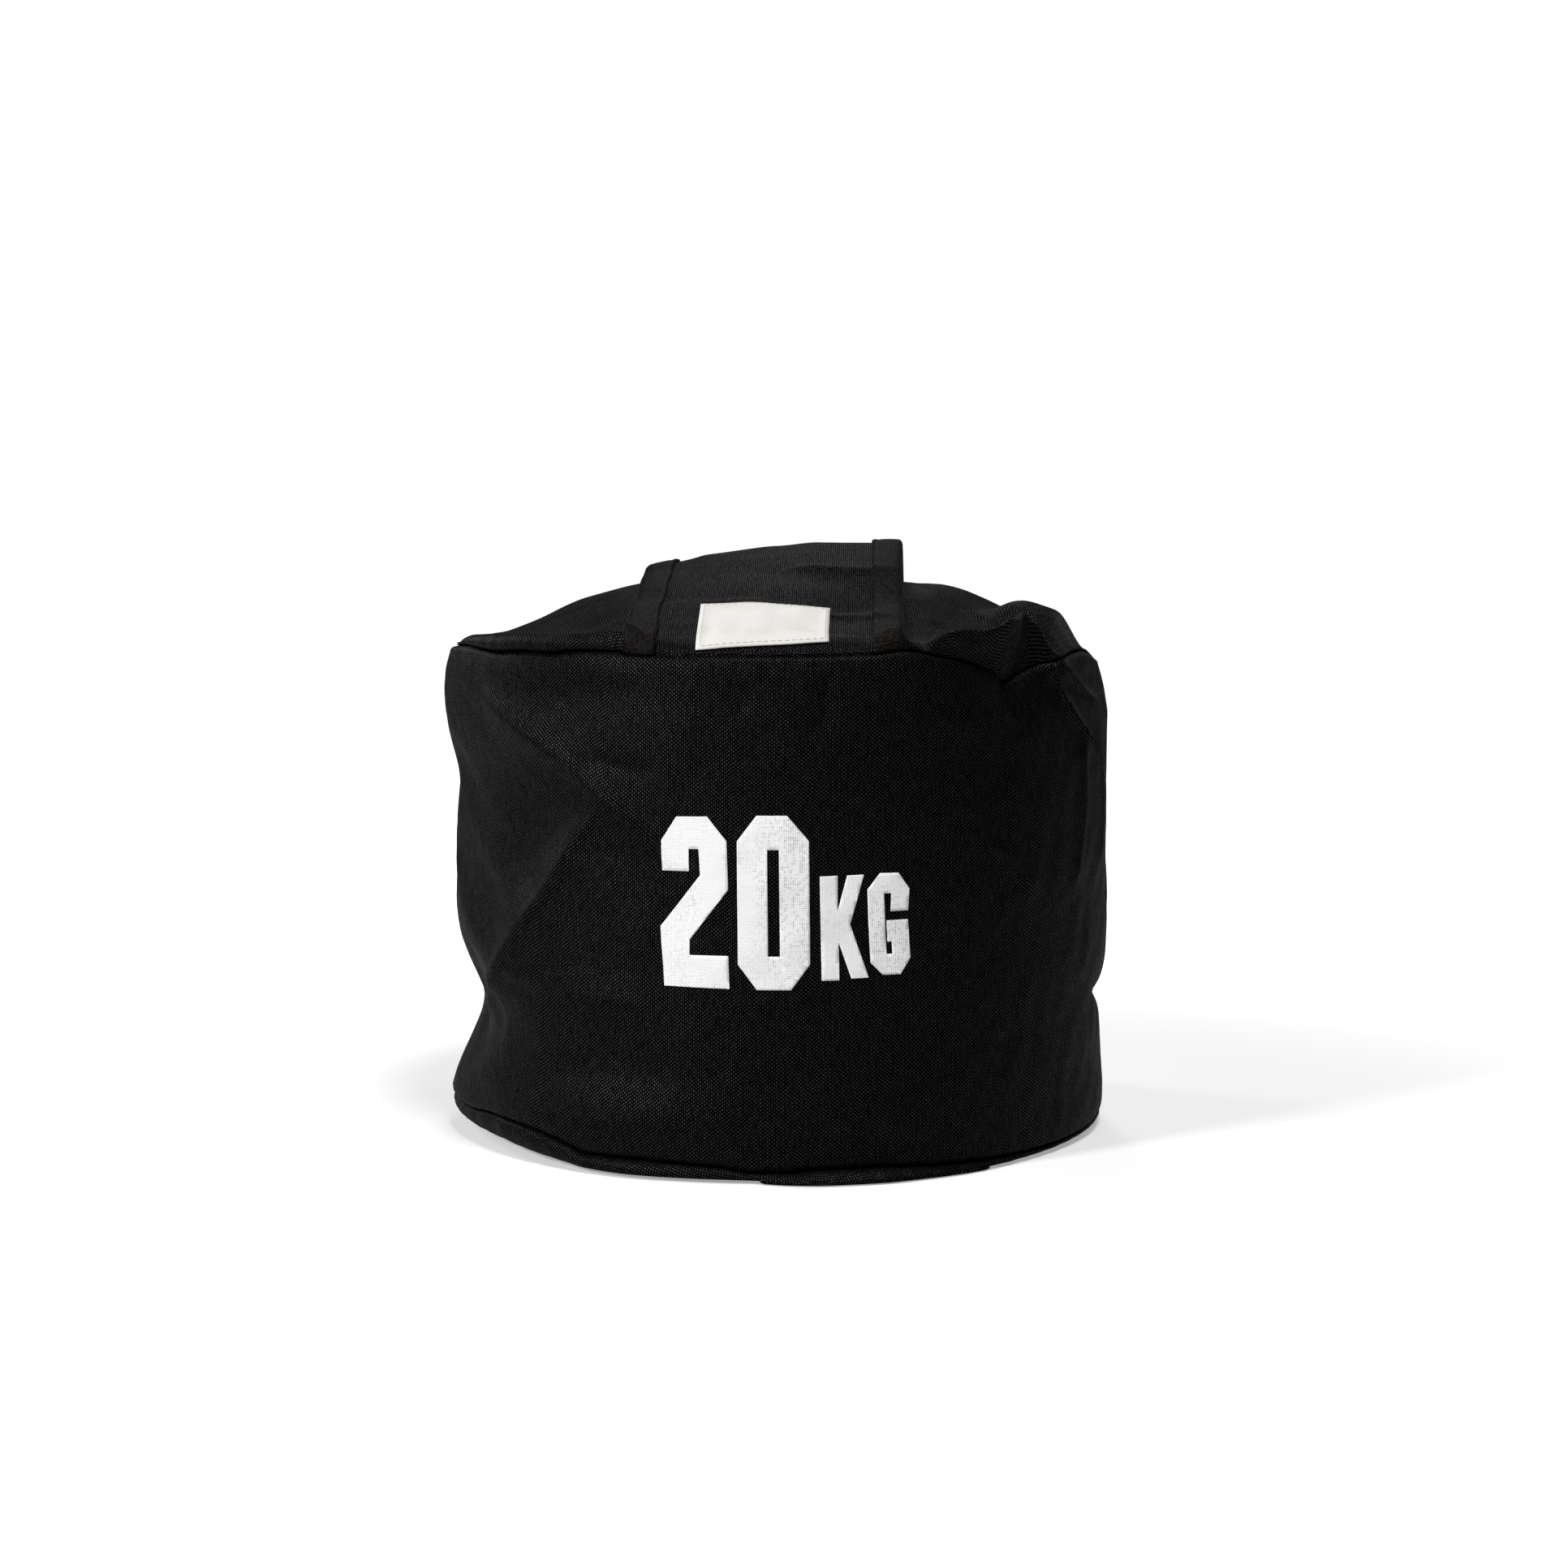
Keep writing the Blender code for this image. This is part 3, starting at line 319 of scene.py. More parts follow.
# Lumps in the top: azimuth, its half width, radius, its half width, lift
TOP_LUMPS = (
    (64, 9.2, 123, 17, 12.3),
    (88, 34, 96, 26, 3.0),
    (-76, 32, 133, 10, 1.0),
    (140, 20, 128, 19, 5.0),
    (-145, 26, 130, 15, 3.4),
    (24, 9, 118, 14, -2.0),
    (-40, 12, 112, 12, -1.6),
    (170, 16, 96, 18, -1.8),
)

# Fine ridges in the top: height, half width, course as x and y
TOP_RIDGES = (
    (1.7, 2.4, ((58, -30), (69, -49), (78, -56), (88, -66), (94, -84))),
    (1.3, 2.6, ((64, 0), (80, -18), (92, -22), (106, -30))),
    (1.3, 2.4, ((52, -60), (60, -74), (68, -88))),
    (1.2, 2.2, ((49, -112), (54, -122), (58, -130))),
    (1.2, 3.0, ((-58, -78), (-78, -84), (-98, -80))),
    (1.0, 3.4, ((-60, -40), (-84, -42), (-108, -34))),
    (1.1, 3.4, ((58, 10), (84, 14), (108, 30))),
    (1.0, 3.0, ((40, 112), (52, 96), (60, 70))),
    (1.1, 3.2, ((-44, 112), (-58, 90), (-64, 60))),
    (-1.2, 3.2, ((-70, 10), (-92, 18), (-112, 14))),
)

# Foot of the bag: azimuth, height of the base seam, radius where the base leaves the floor, and
# how far the base bulges out beyond the seam
FOOT_SEAM, FOOT_RADIUS, FOOT_BULGE = range(1, 4)
FOOT = (
    (-168, 9.0, 134, 2.2),
    (-148, 12.5, 131, 2.4),
    (-128, 9.0, 134, 2.0),
    (-108, 12.0, 131, 2.2),
    (-88, 12.8, 127, 1.8),
    (-66, 13.8, 120.5, 0.7),
    (-55, 15.6, 122, 1.6),
    (-45, 14.6, 129, 2.6),
    (-37, 11.4, 136, 2.6),
    (-31.5, 7.6, 142.5, 2.8),
    (-23, 7.4, 145.5, 3.2),
    (-15, 6.8, 145, 2.4),
    (-9, 6.0, 144.5, 2.2),
    (-4, 4.2, 145, 1.4),
    (2, 4.0, 149, 2.4),
    (8, 5.2, 151, 3.6),
    (16, 5.2, 151, 3.6),
    (24, 4.2, 149, 2.8),
    (34, 3.4, 147, 2.6),
    (50, 3.6, 140, 0.9),
    (66, 4.4, 135, 0.2),
    (84, 6.4, 134.5, 0.8),
    (104, 10.5, 132, 2.0),
    (124, 8.0, 135, 2.2),
    (146, 12.0, 131, 2.4),
    (168, 10.0, 133, 2.2),
)

# Top panel, from its rim to its middle: share of the radius, share of the rise
DOME_SHARES = (
    (0.0, 1.0), (0.143, 0.996), (0.287, 0.956), (0.36, 0.922), (0.43, 0.874), (0.51, 0.774),
    (0.588, 0.652), (0.66, 0.489), (0.731, 0.311), (0.79, 0.189), (0.846, 0.089), (0.93, 0.015),
    (1.0, 0.0), (1.1, -0.01),
)

# Flap's ridge line from its hinge to its free end: share of the length, share of the rise
FLAP_RIDGE_SHARES = (
    (0.0, 0.0), (0.06, 0.17), (0.12, 0.34), (0.185, 0.43), (0.26, 0.60), (0.34, 0.80),
    (0.40, 0.91), (0.46, 0.975), (0.54, 1.0), (0.62, 0.965), (0.70, 0.90), (0.764, 0.78),
    (0.83, 0.55), (0.90, 0.30), (1.0, 0.0),
)
TILT_SHARES = (0.436, 0.588, 0.865)

# Faint creases across the flap: height, half width, course as x and distance past the hinge
FLAP_CREASES = (
    (1.8, 2.8, ((2, 22), (26, 23), (56, 21))),
    (1.6, 3.4, ((2, 71), (26, 69), (58, 65))),
    (1.2, 3.4, ((-52, 31), (-26, 31), (4, 36))),
    (0.6, 4.0, ((-40, 150), (0, 158), (40, 150))),
    (-0.8, 6.0, ((-44, 196), (0, 190), (44, 198))),
)


# Curves and distances


def smooth_step(value, low, high):
    share = np.clip((value - low) / (high - low), 0.0, 1.0)
    return share * share * (3 - 2 * share)


def bell(offset, half_width):
    return np.exp(-((offset / half_width) ** 2))


def mound(offset, half_width):
    """As a bell, but flatter on top and steeper beside."""
    return np.exp(-np.abs(offset / half_width) ** 3)


def soft_max(first, second, softness):
    """The greater of two, rounded where they cross."""
    return (first + second + np.hypot(first - second, softness)) / 2


def turned_apart(azimuth, other):
    return (azimuth - other + 180) % 360 - 180


def arc(azimuth):
    """Millimetres round the bag from its front."""
    return np.radians(azimuth) * BAG_RADIUS / MM


def plan(azimuth, radius):
    """x and y at these azimuths and radii."""
    return radius * np.sin(np.radians(azimuth)), -radius * np.cos(np.radians(azimuth))


def through(rows, place, column=1):
    """The smooth curve through a column of a table, without overshoot, at these places."""
    x, y = np.array([(row[0], row[column]) for row in rows], float).T
    gaps = np.diff(x)
    rates = np.diff(y) / gaps
    product = rates[:-1] * rates[1:]
    total = rates[:-1] + rates[1:]
    inner = np.where(product > 0, 2 * product / np.where(total == 0, 1.0, total), 0.0)
    bends = np.concatenate([rates[:1], inner, rates[-1:]])
    i = np.clip(np.searchsorted(x, place) - 1, 0, len(gaps) - 1)
    t = (place - x[i]) / gaps[i]
    lead = gaps[i] * t * (1 - t) * ((1 - t) * bends[i] - t * bends[i + 1])
    return y[i] + (y[i + 1] - y[i]) * t * t * (3 - 2 * t) + lead


def round_the_bag(rows, azimuth, column):
    """A column of a table of azimuths, at these azimuths, in metres."""
    before = [(row[0] - 360, *row[1:]) for row in rows[-3:]]
    after = [(row[0] + 360, *row[1:]) for row in rows[:3]]
    return through(before + list(rows) + after, azimuth, column) * MM


def along_course(x, y, course):
    """Distance from a bent line, and the share of the way along it."""
    nearest, reached, done = np.inf, 0.0, 0.0
    for start, end in zip(course, course[1:]):
        length = math.dist(start, end)
        way = ((end[0] - start[0]) / length, (end[1] - start[1]) / length)
        along = np.clip((x - start[0]) * way[0] + (y - start[1]) * way[1], 0, length)
        apart = np.hypot(x - start[0] - along * way[0], y - start[1] - along * way[1])
        reached = np.where(apart < nearest, done + along, reached)
        nearest = np.minimum(apart, nearest)
        done += length
    return nearest, reached / done


def ridge(x, y, height, half_width, course):
    """A ridge with a narrow crown and long flanks, which dies away at both ends."""
    apart, share = along_course(x, y, course)
    crown = 0.35 * half_width
    flank = np.exp(-(np.hypot(apart, crown) - crown) / half_width)
    return height * flank * smooth_step(share, 0, 0.25) * smooth_step(1 - share, 0, 0.25)


def inside_corners(x, y, corners, softness):
    """How far inside a convex outline each point is, rounded a little near its edges."""
    inside = None
    for a, b in zip(corners, corners[1:] + corners[:1]):
        apart = ((b[0] - a[0]) * (y - a[1]) - (b[1] - a[1]) * (x - a[0])) / math.dist(a, b)
        inside = apart if inside is None else inside + apart - soft_max(inside, apart, softness)
    return soft_max(inside, 0, softness)


def ripples(x, y, length, seed):
    """Uneven waves of about this length, from -1 to 1."""
    draw = np.random.default_rng(seed)
    total = 0.0
    waves = 7
    for _ in range(waves):
        angle, phase = draw.uniform(0, 2 * math.pi, 2)
        pull = 2 * math.pi / (length * draw.uniform(0.7, 1.6))
        total = total + np.sin(pull * (x * math.cos(angle) + y * math.sin(angle)) + phase)
    return total / waves ** 0.5 / 1.4


# Shape of the slumped drum


def near_course(azimuth, course):
    """The azimuths and a table's course, both as millimetres round the bag from its start."""
    start = course[0][0]
    flat = [(float(arc(turned_apart(place, start))), height) for place, height in course]
    return arc(turned_apart(azimuth, start)), flat


def wall_shift(azimuth, height):
    """How far the wall stands out from a true drum here, in metres."""
    level = height / MM
    shift = np.zeros(np.broadcast(azimuth, height).shape)
    for middle, width, at, span, out in WALL_DENTS:
        shift += out * bell(turned_apart(azimuth, middle), width) * bell(level - at, span)
    for depth, reach, corners in WALL_FACETS:
        x, flat = near_course(azimuth, corners)
        share = np.clip(inside_corners(x, level, flat, 3.0) / reach, 0, 1)
        shift -= depth * (np.abs(x) < FACET_SPAN) * (1 - (1 - share) ** 2)
    for rise, width, course in WALL_RIDGES:
        x, flat = near_course(azimuth, course)
        shift += ridge(x, level, rise, width, flat)
    return shift * MM


def seam_puckers(azimuth, below):
    """Small pleats that the stitches of a seam draw into the cloth beside it."""
    x = arc(azimuth)
    pleats = np.sin(x / 2.1 + 2.2 * np.sin(x / 17) + 1.3 * np.sin(x / 41))
    strength = 0.32 * MM * (0.55 + 0.45 * np.sin(x / 29 + 1))
    return pleats * strength * np.exp(-np.clip(below, 0, None) / (5.5 * MM))


def slack(azimuth, height):
    """Slight unevenness of the filled cloth."""
    x, y = plan(azimuth, BAG_RADIUS / MM)
    level = height / MM
    coarse = ripples(x - 0.8 * y, level * 1.1 - 0.3 * y, 58, 3)
    fine = ripples(x + 0.6 * y, level - 0.7 * y, 21, 8)
    return (0.60 * coarse + 0.26 * fine + 0.09 * ripples(arc(azimuth), level, 10, 14)) * MM


def top_seam(azimuth):
    """Height of the wall's upper edge."""
    return WALL_TOP + round_the_bag(RIM, azimuth, RIM_SEAM)


def base_seam(azimuth):
    return round_the_bag(FOOT, azimuth, FOOT_SEAM)


def wall_radius(azimuth, height):
    """Radius of the wall's outer face."""
    above = top_seam(azimuth) - height
    below = height - base_seam(azimuth)
    drawn = round_the_bag(RIM, azimuth, RIM_DRAWN) * smooth_step(-above, -26 * MM, 0)
    turning = 1.6 * MM * np.clip(1 - above / (9 * MM), 0, 1) ** 2
    puckers = seam_puckers(azimuth, above) + seam_puckers(azimuth + 40, below)
    loose = slack(azimuth, height) * smooth_step(above, 0, 12 * MM) * smooth_step(below, 0, 12 * MM)
    return BAG_RADIUS + wall_shift(azimuth, height) - drawn - turning + puckers + loose


def dome_height(azimuth, radius):
    """Height of the top panel, apart from its lip."""
    height = DOME_FOOT + DOME_RISE * through(DOME_SHARES, radius / ROLL_RADIUS_AT)
    for middle, width, at, span, lift in TOP_LUMPS:
        near = mound(turned_apart(azimuth, middle), width) * mound(radius / MM - at, span)
        height = height + lift * MM * near
    x, y = plan(azimuth, radius / MM)
    for crease in TOP_RIDGES:
        height = height + ridge(x, y, *crease) * MM
    uneven = 0.30 * ripples(x, y, 44, 5) + 0.12 * ripples(x, y, 17, 6)
    return height + uneven * MM * smooth_step(radius, 40 * MM, 70 * MM)


def lip_place(azimuth):
    """Radius and height of the top panel's lip."""
    return (BAG_RADIUS + round_the_bag(RIM, azimuth, RIM_LIP_OUT),
            top_seam(azimuth) + round_the_bag(RIM, azimuth, RIM_LIP_RISE))


def top_height(azimuth, radius):
    """Height of the top panel inside its lip."""
    lip, lip_height = lip_place(azimuth)
    felt = 1 - smooth_step(lip - radius, 0, round_the_bag(RIM, azimuth, RIM_FELT))
    return dome_height(azimuth, radius) + (lip_height - dome_height(azimuth, lip)) * felt


# Making meshes


def stacked(*parts):
    """Coordinates, given one by one, as one array of points."""
    return np.stack(np.broadcast_arrays(*parts), axis=-1)


def on_drum(azimuth, radius, height):
    """Points at these azimuths, radii and heights."""
    return stacked(*plan(azimuth, radius), height)


def unit(vectors):
    return vectors / np.linalg.norm(vectors, axis=-1, keepdims=True)


def bent(points, shares):
    """Points on the Bezier curve of three or four control points, one for each share."""
    made = []
    for t in shares:
        level = [np.asarray(point) for point in points]
        while len(level) > 1:
            level = [(1 - t) * a + t * b for a, b in zip(level, level[1:])]
        made.append(level[0])
    return made


def far_along(points):
    """Distance from the first point along a line of points, or down each column of a grid."""
    steps = np.linalg.norm(np.diff(points, axis=0), axis=-1)
    return np.concatenate([0 * steps[:1], np.cumsum(steps, axis=0)])


def linked(name, data):
    obj = bpy.data.objects.new(name, data)
    bpy.context.scene.collection.objects.link(obj)
    return obj


def mesh_object(name, mesh, material):
    mesh.shade_smooth()
    mesh.materials.append(material)
    return linked(name, mesh)


def thicken(obj, thickness, offset=-1.0):
    """Makes a layer of cloth out of a surface, on the side away from its normals by default."""
    solid = obj.modifiers.new("thickness", "SOLIDIFY")
    solid.thickness = thickness
    solid.offset = offset
    solid.use_quality_normals = True
    graph = bpy.context.evaluated_depsgraph_get()
    mesh = bpy.data.meshes.new_from_object(obj.evaluated_get(graph))
    obj.modifiers.clear()
    obj.data = mesh
    mesh.name = obj.name
    return obj


def layer(name, points, flat, material, thickness=None, offset=-1.0, wrap=False, weld=False):
    """A layer of cloth over rows and columns of points, or its surface alone where no thickness is
    given. flat is where each corner was in the uncut cloth, in metres, with one more column than
    points where the columns wrap round."""
    rows, columns = points.shape[:2]
    i, j = np.meshgrid(np.arange(rows - 1), np.arange(columns - (not wrap)), indexing="ij")
    corners = ((i, j), (i, j + 1), (i + 1, j + 1), (i + 1, j))
    faces = np.stack([row * columns + column % columns for row, column in corners], axis=-1)
    mesh = bpy.data.meshes.new(name)
    mesh.from_pydata(points.reshape(-1, 3).tolist(), [], faces.reshape(-1, 4).tolist())
    places = np.stack([flat[row, column] for row, column in corners], axis=2)
    mesh.uv_layers.new(name="Flat").uv.foreach_set("vector", places.astype(np.float32).ravel())
    if weld:
        shaped = bmesh.new()
        shaped.from_mesh(mesh)
        bmesh.ops.remove_doubles(shaped, verts=shaped.verts, dist=0.01 * MM)
        shaped.to_mesh(mesh)
        shaped.free()
    made = mesh_object(name, mesh, material)
    return thicken(made, thickness, offset) if thickness else made


def all_round(hidden=False):
    """Azimuths of the drum's columns."""
    if hidden:
        return np.arange(-180, 180, HIDDEN_STEP)
    return np.concatenate([np.arange(-180, -FRONT_EDGE, BACK_STEP),
                           np.arange(-FRONT_EDGE, FRONT_EDGE, FRONT_STEP),
                           np.arange(FRONT_EDGE, 180, BACK_STEP)])


def closed(grid):
    """A grid with its first column repeated at the end."""
    return np.concatenate([grid, grid[:, :1]], axis=1)


def revolved(name, rings, grain, material, thickness=None, offset=-1.0, hidden=True,
             inwards=False, close=False):
    """A layer over rings, each given as radius and height at all azimuths, that was cut as a disc:
    each column ran straight out from the middle, with the weave turned by the grain's angle."""
    azimuth = all_round(hidden)
    points = np.stack([on_drum(azimuth, radius, height) for radius, height in rings])
    if close:
        points[-1] = points[-1].mean(axis=0)
    along = far_along(points)
    out = closed(along[-1] - along if inwards else along)
    flat = stacked(*plan(np.append(azimuth, 180.0) + grain, out))
    return layer(name, points, flat, material, thickness, offset, wrap=True, weld=True)


def tubes(name, made, material):
    """Thin closed tubes, each an array of rings of points."""
    rings, sides = made[0].shape[:2]
    faces = [tuple(range(sides))[::-1], tuple(range((rings - 1) * sides, rings * sides))]
    for low in range(0, (rings - 1) * sides, sides):
        for a in range(sides):
            b = (a + 1) % sides
            faces.append((low + a, low + b, low + sides + b, low + sides + a))
    firsts = range(0, len(made) * rings * sides, rings * sides)
    mesh = bpy.data.meshes.new(name)
    mesh.from_pydata(np.concatenate(made).reshape(-1, 3).tolist(), [],
                     [tuple(first + corner for corner in face) for first in firsts for face in faces])
    return mesh_object(name, mesh, material)


def stitches(name, lines, material, pitch=3.0 * MM, length=2.3 * MM, width=0.45 * MM):
    """Stitches along lines of points on cloth, each with its normals: short rounded threads that
    dip in at both ends."""
    turn = 2 * math.pi * np.arange(6)[:, None] / 6
    swell = np.sin(np.linspace(0.08, 0.92, 5) * math.pi)[:, None, None]
    reach = width / 2 * (0.35 + 0.65 * swell)
    lift = (swell - 0.55) * width * 0.9
    made = []
    for points, normals in lines:
        far = far_along(points)
        count = max(int(far[-1] / pitch), 1)
        for k in range(count):
            start = (k + 0.5) * far[-1] / count - length / 2
            places = start + length * np.linspace(0, 1, 5)
            middle, up = [np.stack([np.interp(places, far, axis) for axis in values.T], axis=1)
                          for values in (points, normals)]
            up = unit(up)
            side = unit(np.cross(np.gradient(middle, axis=0), up))
            made.append(middle[:, None] + side[:, None] * np.cos(turn) * reach
                        + up[:, None] * (np.sin(turn) * reach * 0.8 + lift))
    return tubes(name, made, material)


# Materials


class Recipe:
    """Builds the nodes of a material or world, so that each below reads as a list of steps."""

    def __init__(self, owner):
        owner.use_nodes = True
        self.owner = owner
        self.tree = owner.node_tree
        self.shader = self.tree.nodes.get("Principled BSDF")

    def put(self, node, inputs):
        """Links or sets a node's inputs, given by number or name. Colours have three values."""
        for key, value in inputs.items():
            target = node.inputs[key]
            if isinstance(value, bpy.types.NodeSocket):
                self.tree.links.new(value, target)
            else:
                target.default_value = (*value, 1.0) if target.type == "RGBA" else value

    def node(self, kind, inputs, output=0, **settings):
        """One output of a new node with these inputs."""
        made = self.tree.nodes.new("ShaderNode" + kind)
        for key, value in settings.items():
            setattr(made, key, value)
        self.put(made, inputs)
        return made.outputs[output]

    def math(self, operation, *values, clamp=False):
        return self.node("Math", dict(enumerate(values)), operation=operation, use_clamp=clamp)

    def times(self, first, second):
        return self.math("MULTIPLY", first, second)

    def ranged(self, value, *ends, way="LINEAR"):
        """A value carried from between the first two ends to between the last two."""
        return self.node("MapRange", dict(enumerate((value, *ends))), interpolation_type=way)

    def choose(self, share, first, second):
        return self.node("Mix", {0: share, 2: first, 3: second})

    def mix(self, share, first, second):
        """As choose, for colours."""
        return self.node("Mix", {0: share, 6: first, 7: second}, 2, data_type="RGBA")

    def noise(self, scale, detail=3.0, roughness=0.55, seed=0.0, stretch=(1, 1, 1)):
        """Smooth noise over the object's own space, from 0 to 1."""
        place = self.node("TexCoord", {}, "Object")
        start = (seed, seed * 0.7, seed * 1.3)
        moved = self.node("Mapping", {"Vector": place, "Location": start, "Scale": stretch})
        return self.node("TexNoise", {"Vector": moved, "Scale": scale, "Detail": detail,
                                      "Roughness": roughness})

    def bump(self, height, distance, strength, **under):
        return self.node("Bump", {"Height": height, "Distance": distance, "Strength": strength,
                                  **under})

    def streaks(self, across, along):
        """How bright single threads are, which changes slowly along them."""
        place = self.node("CombineXYZ", {0: across, 1: along})
        tone = self.node("TexNoise", {"Vector": place, "Scale": 0.9, "Detail": 0.0})
        return self.ranged(tone, 0.3, 0.7, 0.84, 1.14)

    def weave(self, across=WARP_PITCH, along=WEFT_PITCH):
        """A plain weave: its height, from 0 in the gaps to 1 on the threads' crowns, and its
        shade, in which the threads that cross over catch more light than those that cross
        under."""
        flat = self.node("UVMap", {}, uv_map="Flat")
        wander = self.noise(260.0, 2.0, seed=4.0)
        u, v = [self.math("ADD", self.times(self.node("SeparateXYZ", {0: flat}, axis), 1 / pitch),
                          self.times(wander, sway))
                for axis, pitch, sway in ((0, across, 0.5), (1, along, 0.4))]
        over = [self.math("COSINE", self.times(place, math.pi)) for place in (u, v)]
        which = self.math("GREATER_THAN", self.times(*over), 0.0)
        warp, weft = [self.math("ABSOLUTE", wave) for wave in over]
        long_warp, long_weft = [
            self.times(self.math("POWER", warp, one), self.math("POWER", weft, other))
            for one, other in ((0.9, 0.35), (0.35, 0.9))]
        height = self.choose(which, long_weft, long_warp)
        tone = self.choose(which, self.streaks(self.times(u, 0.16), v),
                           self.streaks(u, self.times(v, 0.16)))
        lit = self.times(tone, self.choose(which, 0.40, 1.0))
        return height, self.times(height, lit)

    def finish(self, colour, normal):
        self.put(self.shader, {"Base Color": colour, "Normal": normal})
        return self.owner

    def show(self, surface):
        """Sends a shader to the output."""
        output = next(node for node in self.tree.nodes if node.type.startswith("OUTPUT"))
        self.put(output, {"Surface": surface})


def plain(name, roughness, specular=0.5, sheen=0.0):
    """The recipe of a new material with these even values."""
    recipe = Recipe(bpy.data.materials.new(name))
    recipe.put(recipe.shader, {"Roughness": roughness, "Specular IOR Level": specular,
                               "Sheen Weight": sheen, "Sheen Roughness": 0.5})
    return recipe


def cloth(name, dark, light, dust, shine=0.70, coarse=1.0, uneven=0.50):
    """Coarse woven cloth: painted highlights on the crowns of the threads that cross over, painted
    shade in the gaps and on the threads that cross under, and dust on it here and there."""
    recipe = plain(name, 0.57)
    weave, shade = recipe.weave(coarse * WARP_PITCH, coarse * WEFT_PITCH)
    slub = recipe.ranged(recipe.noise(1100.0, 2.0, seed=1.0), 0.3, 0.7, 0.92 - uneven,
                         0.92 + uneven)
    # How much each place is painted lit, which also sets how shiny it is: most on the crowns of the
    # threads that cross over
    crown = recipe.math("MULTIPLY", recipe.math("POWER", shade, 2.6), slub, clamp=True)
    recipe.put(recipe.shader, {"Specular IOR Level": recipe.times(crown, shine)})
    patch = recipe.ranged(recipe.noise(26.0, 5.0, 0.62, seed=9.0), 0.52, 0.78, 0.0, 0.55)
    # Painted light and shade: the colour runs from dark in the gaps and on the threads that cross
    # under to light on the crowns of those that cross over; dust lies on the crowns in patches
    colour = recipe.mix(recipe.times(patch, crown), recipe.mix(crown, dark, light), dust)
    fuzz = recipe.bump(recipe.noise(2600.0, 2.0, seed=2.0), 0.03 * MM, 0.5)
    return recipe.finish(colour, recipe.bump(weave, coarse * CLOTH_RELIEF, 0.8, Normal=fuzz))


def grained(name, look, grain, span, dark, light, relief, strength):
    """A material whose grain runs from dark to light and stands out. look goes to plain(), and
    grain to noise()."""
    recipe = plain(name, *look)
    noise = recipe.noise(*grain)
    colour = recipe.mix(recipe.ranged(noise, *span), dark, light)
    return recipe.finish(colour, recipe.bump(noise, relief, strength))


def thread(name, colour):
    """Twisted sewing thread."""
    return grained(name, (0.5, 0.35), (2400.0, 2.0, 0.55, 3.0, (1, 1, 0.4)), (0.3, 0.7, 0.6, 1.25),
                   tuple(c * 0.5 for c in colour), colour, 0.1 * MM, 0.8)


def ink():
    """White ink pressed on the weave: it misses the gaps and has rubbed off the crowns in places."""
    recipe = plain("white_ink", 0.62, 0.3)
    weave, _ = recipe.weave()
    gap = recipe.ranged(weave, 0.12, 0.50, 1.0, 0.0)
    worn_here = recipe.ranged(recipe.noise(38.0, 4.0, 0.6, 12.0), 0.42, 0.60, 0.0, 1.0)
    specks = recipe.ranged(recipe.noise(620.0, 1.0, seed=13.0), 0.50, 0.60, 0.0, 1.0)
    worn = recipe.ranged(recipe.times(worn_here, specks), 0.0, 1.0, 0.16, 0.85)
    cover = recipe.math("SUBTRACT", 1.0, recipe.times(gap, worn), clamp=True)
    white = recipe.mix(recipe.noise(1500.0, 2.0, seed=6.0), (0.79, 0.79, 0.79), (0.87, 0.87, 0.87))
    colour = recipe.mix(cover, (0.03, 0.03, 0.031), white)
    return recipe.finish(colour, recipe.bump(weave, 0.16 * MM, 0.7))


def white_label():
    """Off-white woven tape cloth, finer than the bag's."""
    recipe = plain("white_label_cloth", 0.65, 0.3, 0.05)
    weave, _ = recipe.weave(0.00042, 0.00034)
    soiled = recipe.ranged(recipe.noise(60.0, 5.0, 0.6, 5.0), 0.45, 0.8, 0.0, 1.0)
    # Painted shade: the gaps between the threads are painted darker than their crowns
    clean = recipe.mix(weave, (0.58, 0.565, 0.54), (0.71, 0.695, 0.67))
    colour = recipe.mix(soiled, clean, (0.58, 0.555, 0.51))
    return recipe.finish(colour, recipe.bump(weave, 0.10 * MM, 0.6))


def make_materials():
    return {
        "shell": cloth("black_shell_cloth", (0.0002, 0.0002, 0.0002), (0.0024, 0.0024, 0.0025),
                       (0.0085, 0.0084, 0.0081)),
        "flap": cloth("black_flap_cloth", (0.0002, 0.0002, 0.0002), (0.0040, 0.0040, 0.0041),
                      (0.0088, 0.0087, 0.0084), shine=0.58, uneven=0.80),
        "binding": cloth("black_binding_cloth", (0.0006, 0.0005, 0.0004),
                         (0.0125, 0.0098, 0.0072), (0.020, 0.0157, 0.0115), shine=0.44,
                         coarse=0.55, uneven=0.70),
        "sleeve": cloth("black_sleeve_cloth", (0.0010, 0.0010, 0.0010), (0.016, 0.016, 0.0163),
                        (0.020, 0.020, 0.0195)),
        "thread": thread("black_thread", (0.020, 0.019, 0.018)),
        "white_thread": thread("white_thread", (0.62, 0.60, 0.56)),
        "ink": ink(),
        "label": white_label(),
        "pile": grained("hook_and_loop", (0.85, 0.2, 0.1), (1900.0, 4.0, 0.7, 7.0),
                        (0.35, 0.7, 0.0, 1.0), (0.004, 0.004, 0.004), (0.026, 0.026, 0.027),
                        0.5 * MM, 1.0),
        "liner": grained("grey_liner_film", (0.35, 0.5), (70.0, 6.0, 0.7, 8.0),
                         (0.0, 1.0, 0.0, 1.0), (0.42, 0.44, 0.45), (0.58, 0.60, 0.61),
                         1.2 * MM, 0.8),
        "tie": grained("white_nylon_tie", (0.4, 0.5), (500.0, 3.0, 0.55, 10.0),
                       (0.0, 1.0, 0.0, 1.0), (0.74, 0.74, 0.71), (0.84, 0.84, 0.82),
                       0.1 * MM, 0.4),
        "sand": grained("dry_sand", (0.95, 0.3), (1300.0, 3.0, 0.7, 11.0), (0.3, 0.7, 0.0, 1.0),
                        (0.40, 0.30, 0.19), (0.76, 0.64, 0.47), 0.6 * MM, 1.0),
    }


# Drum


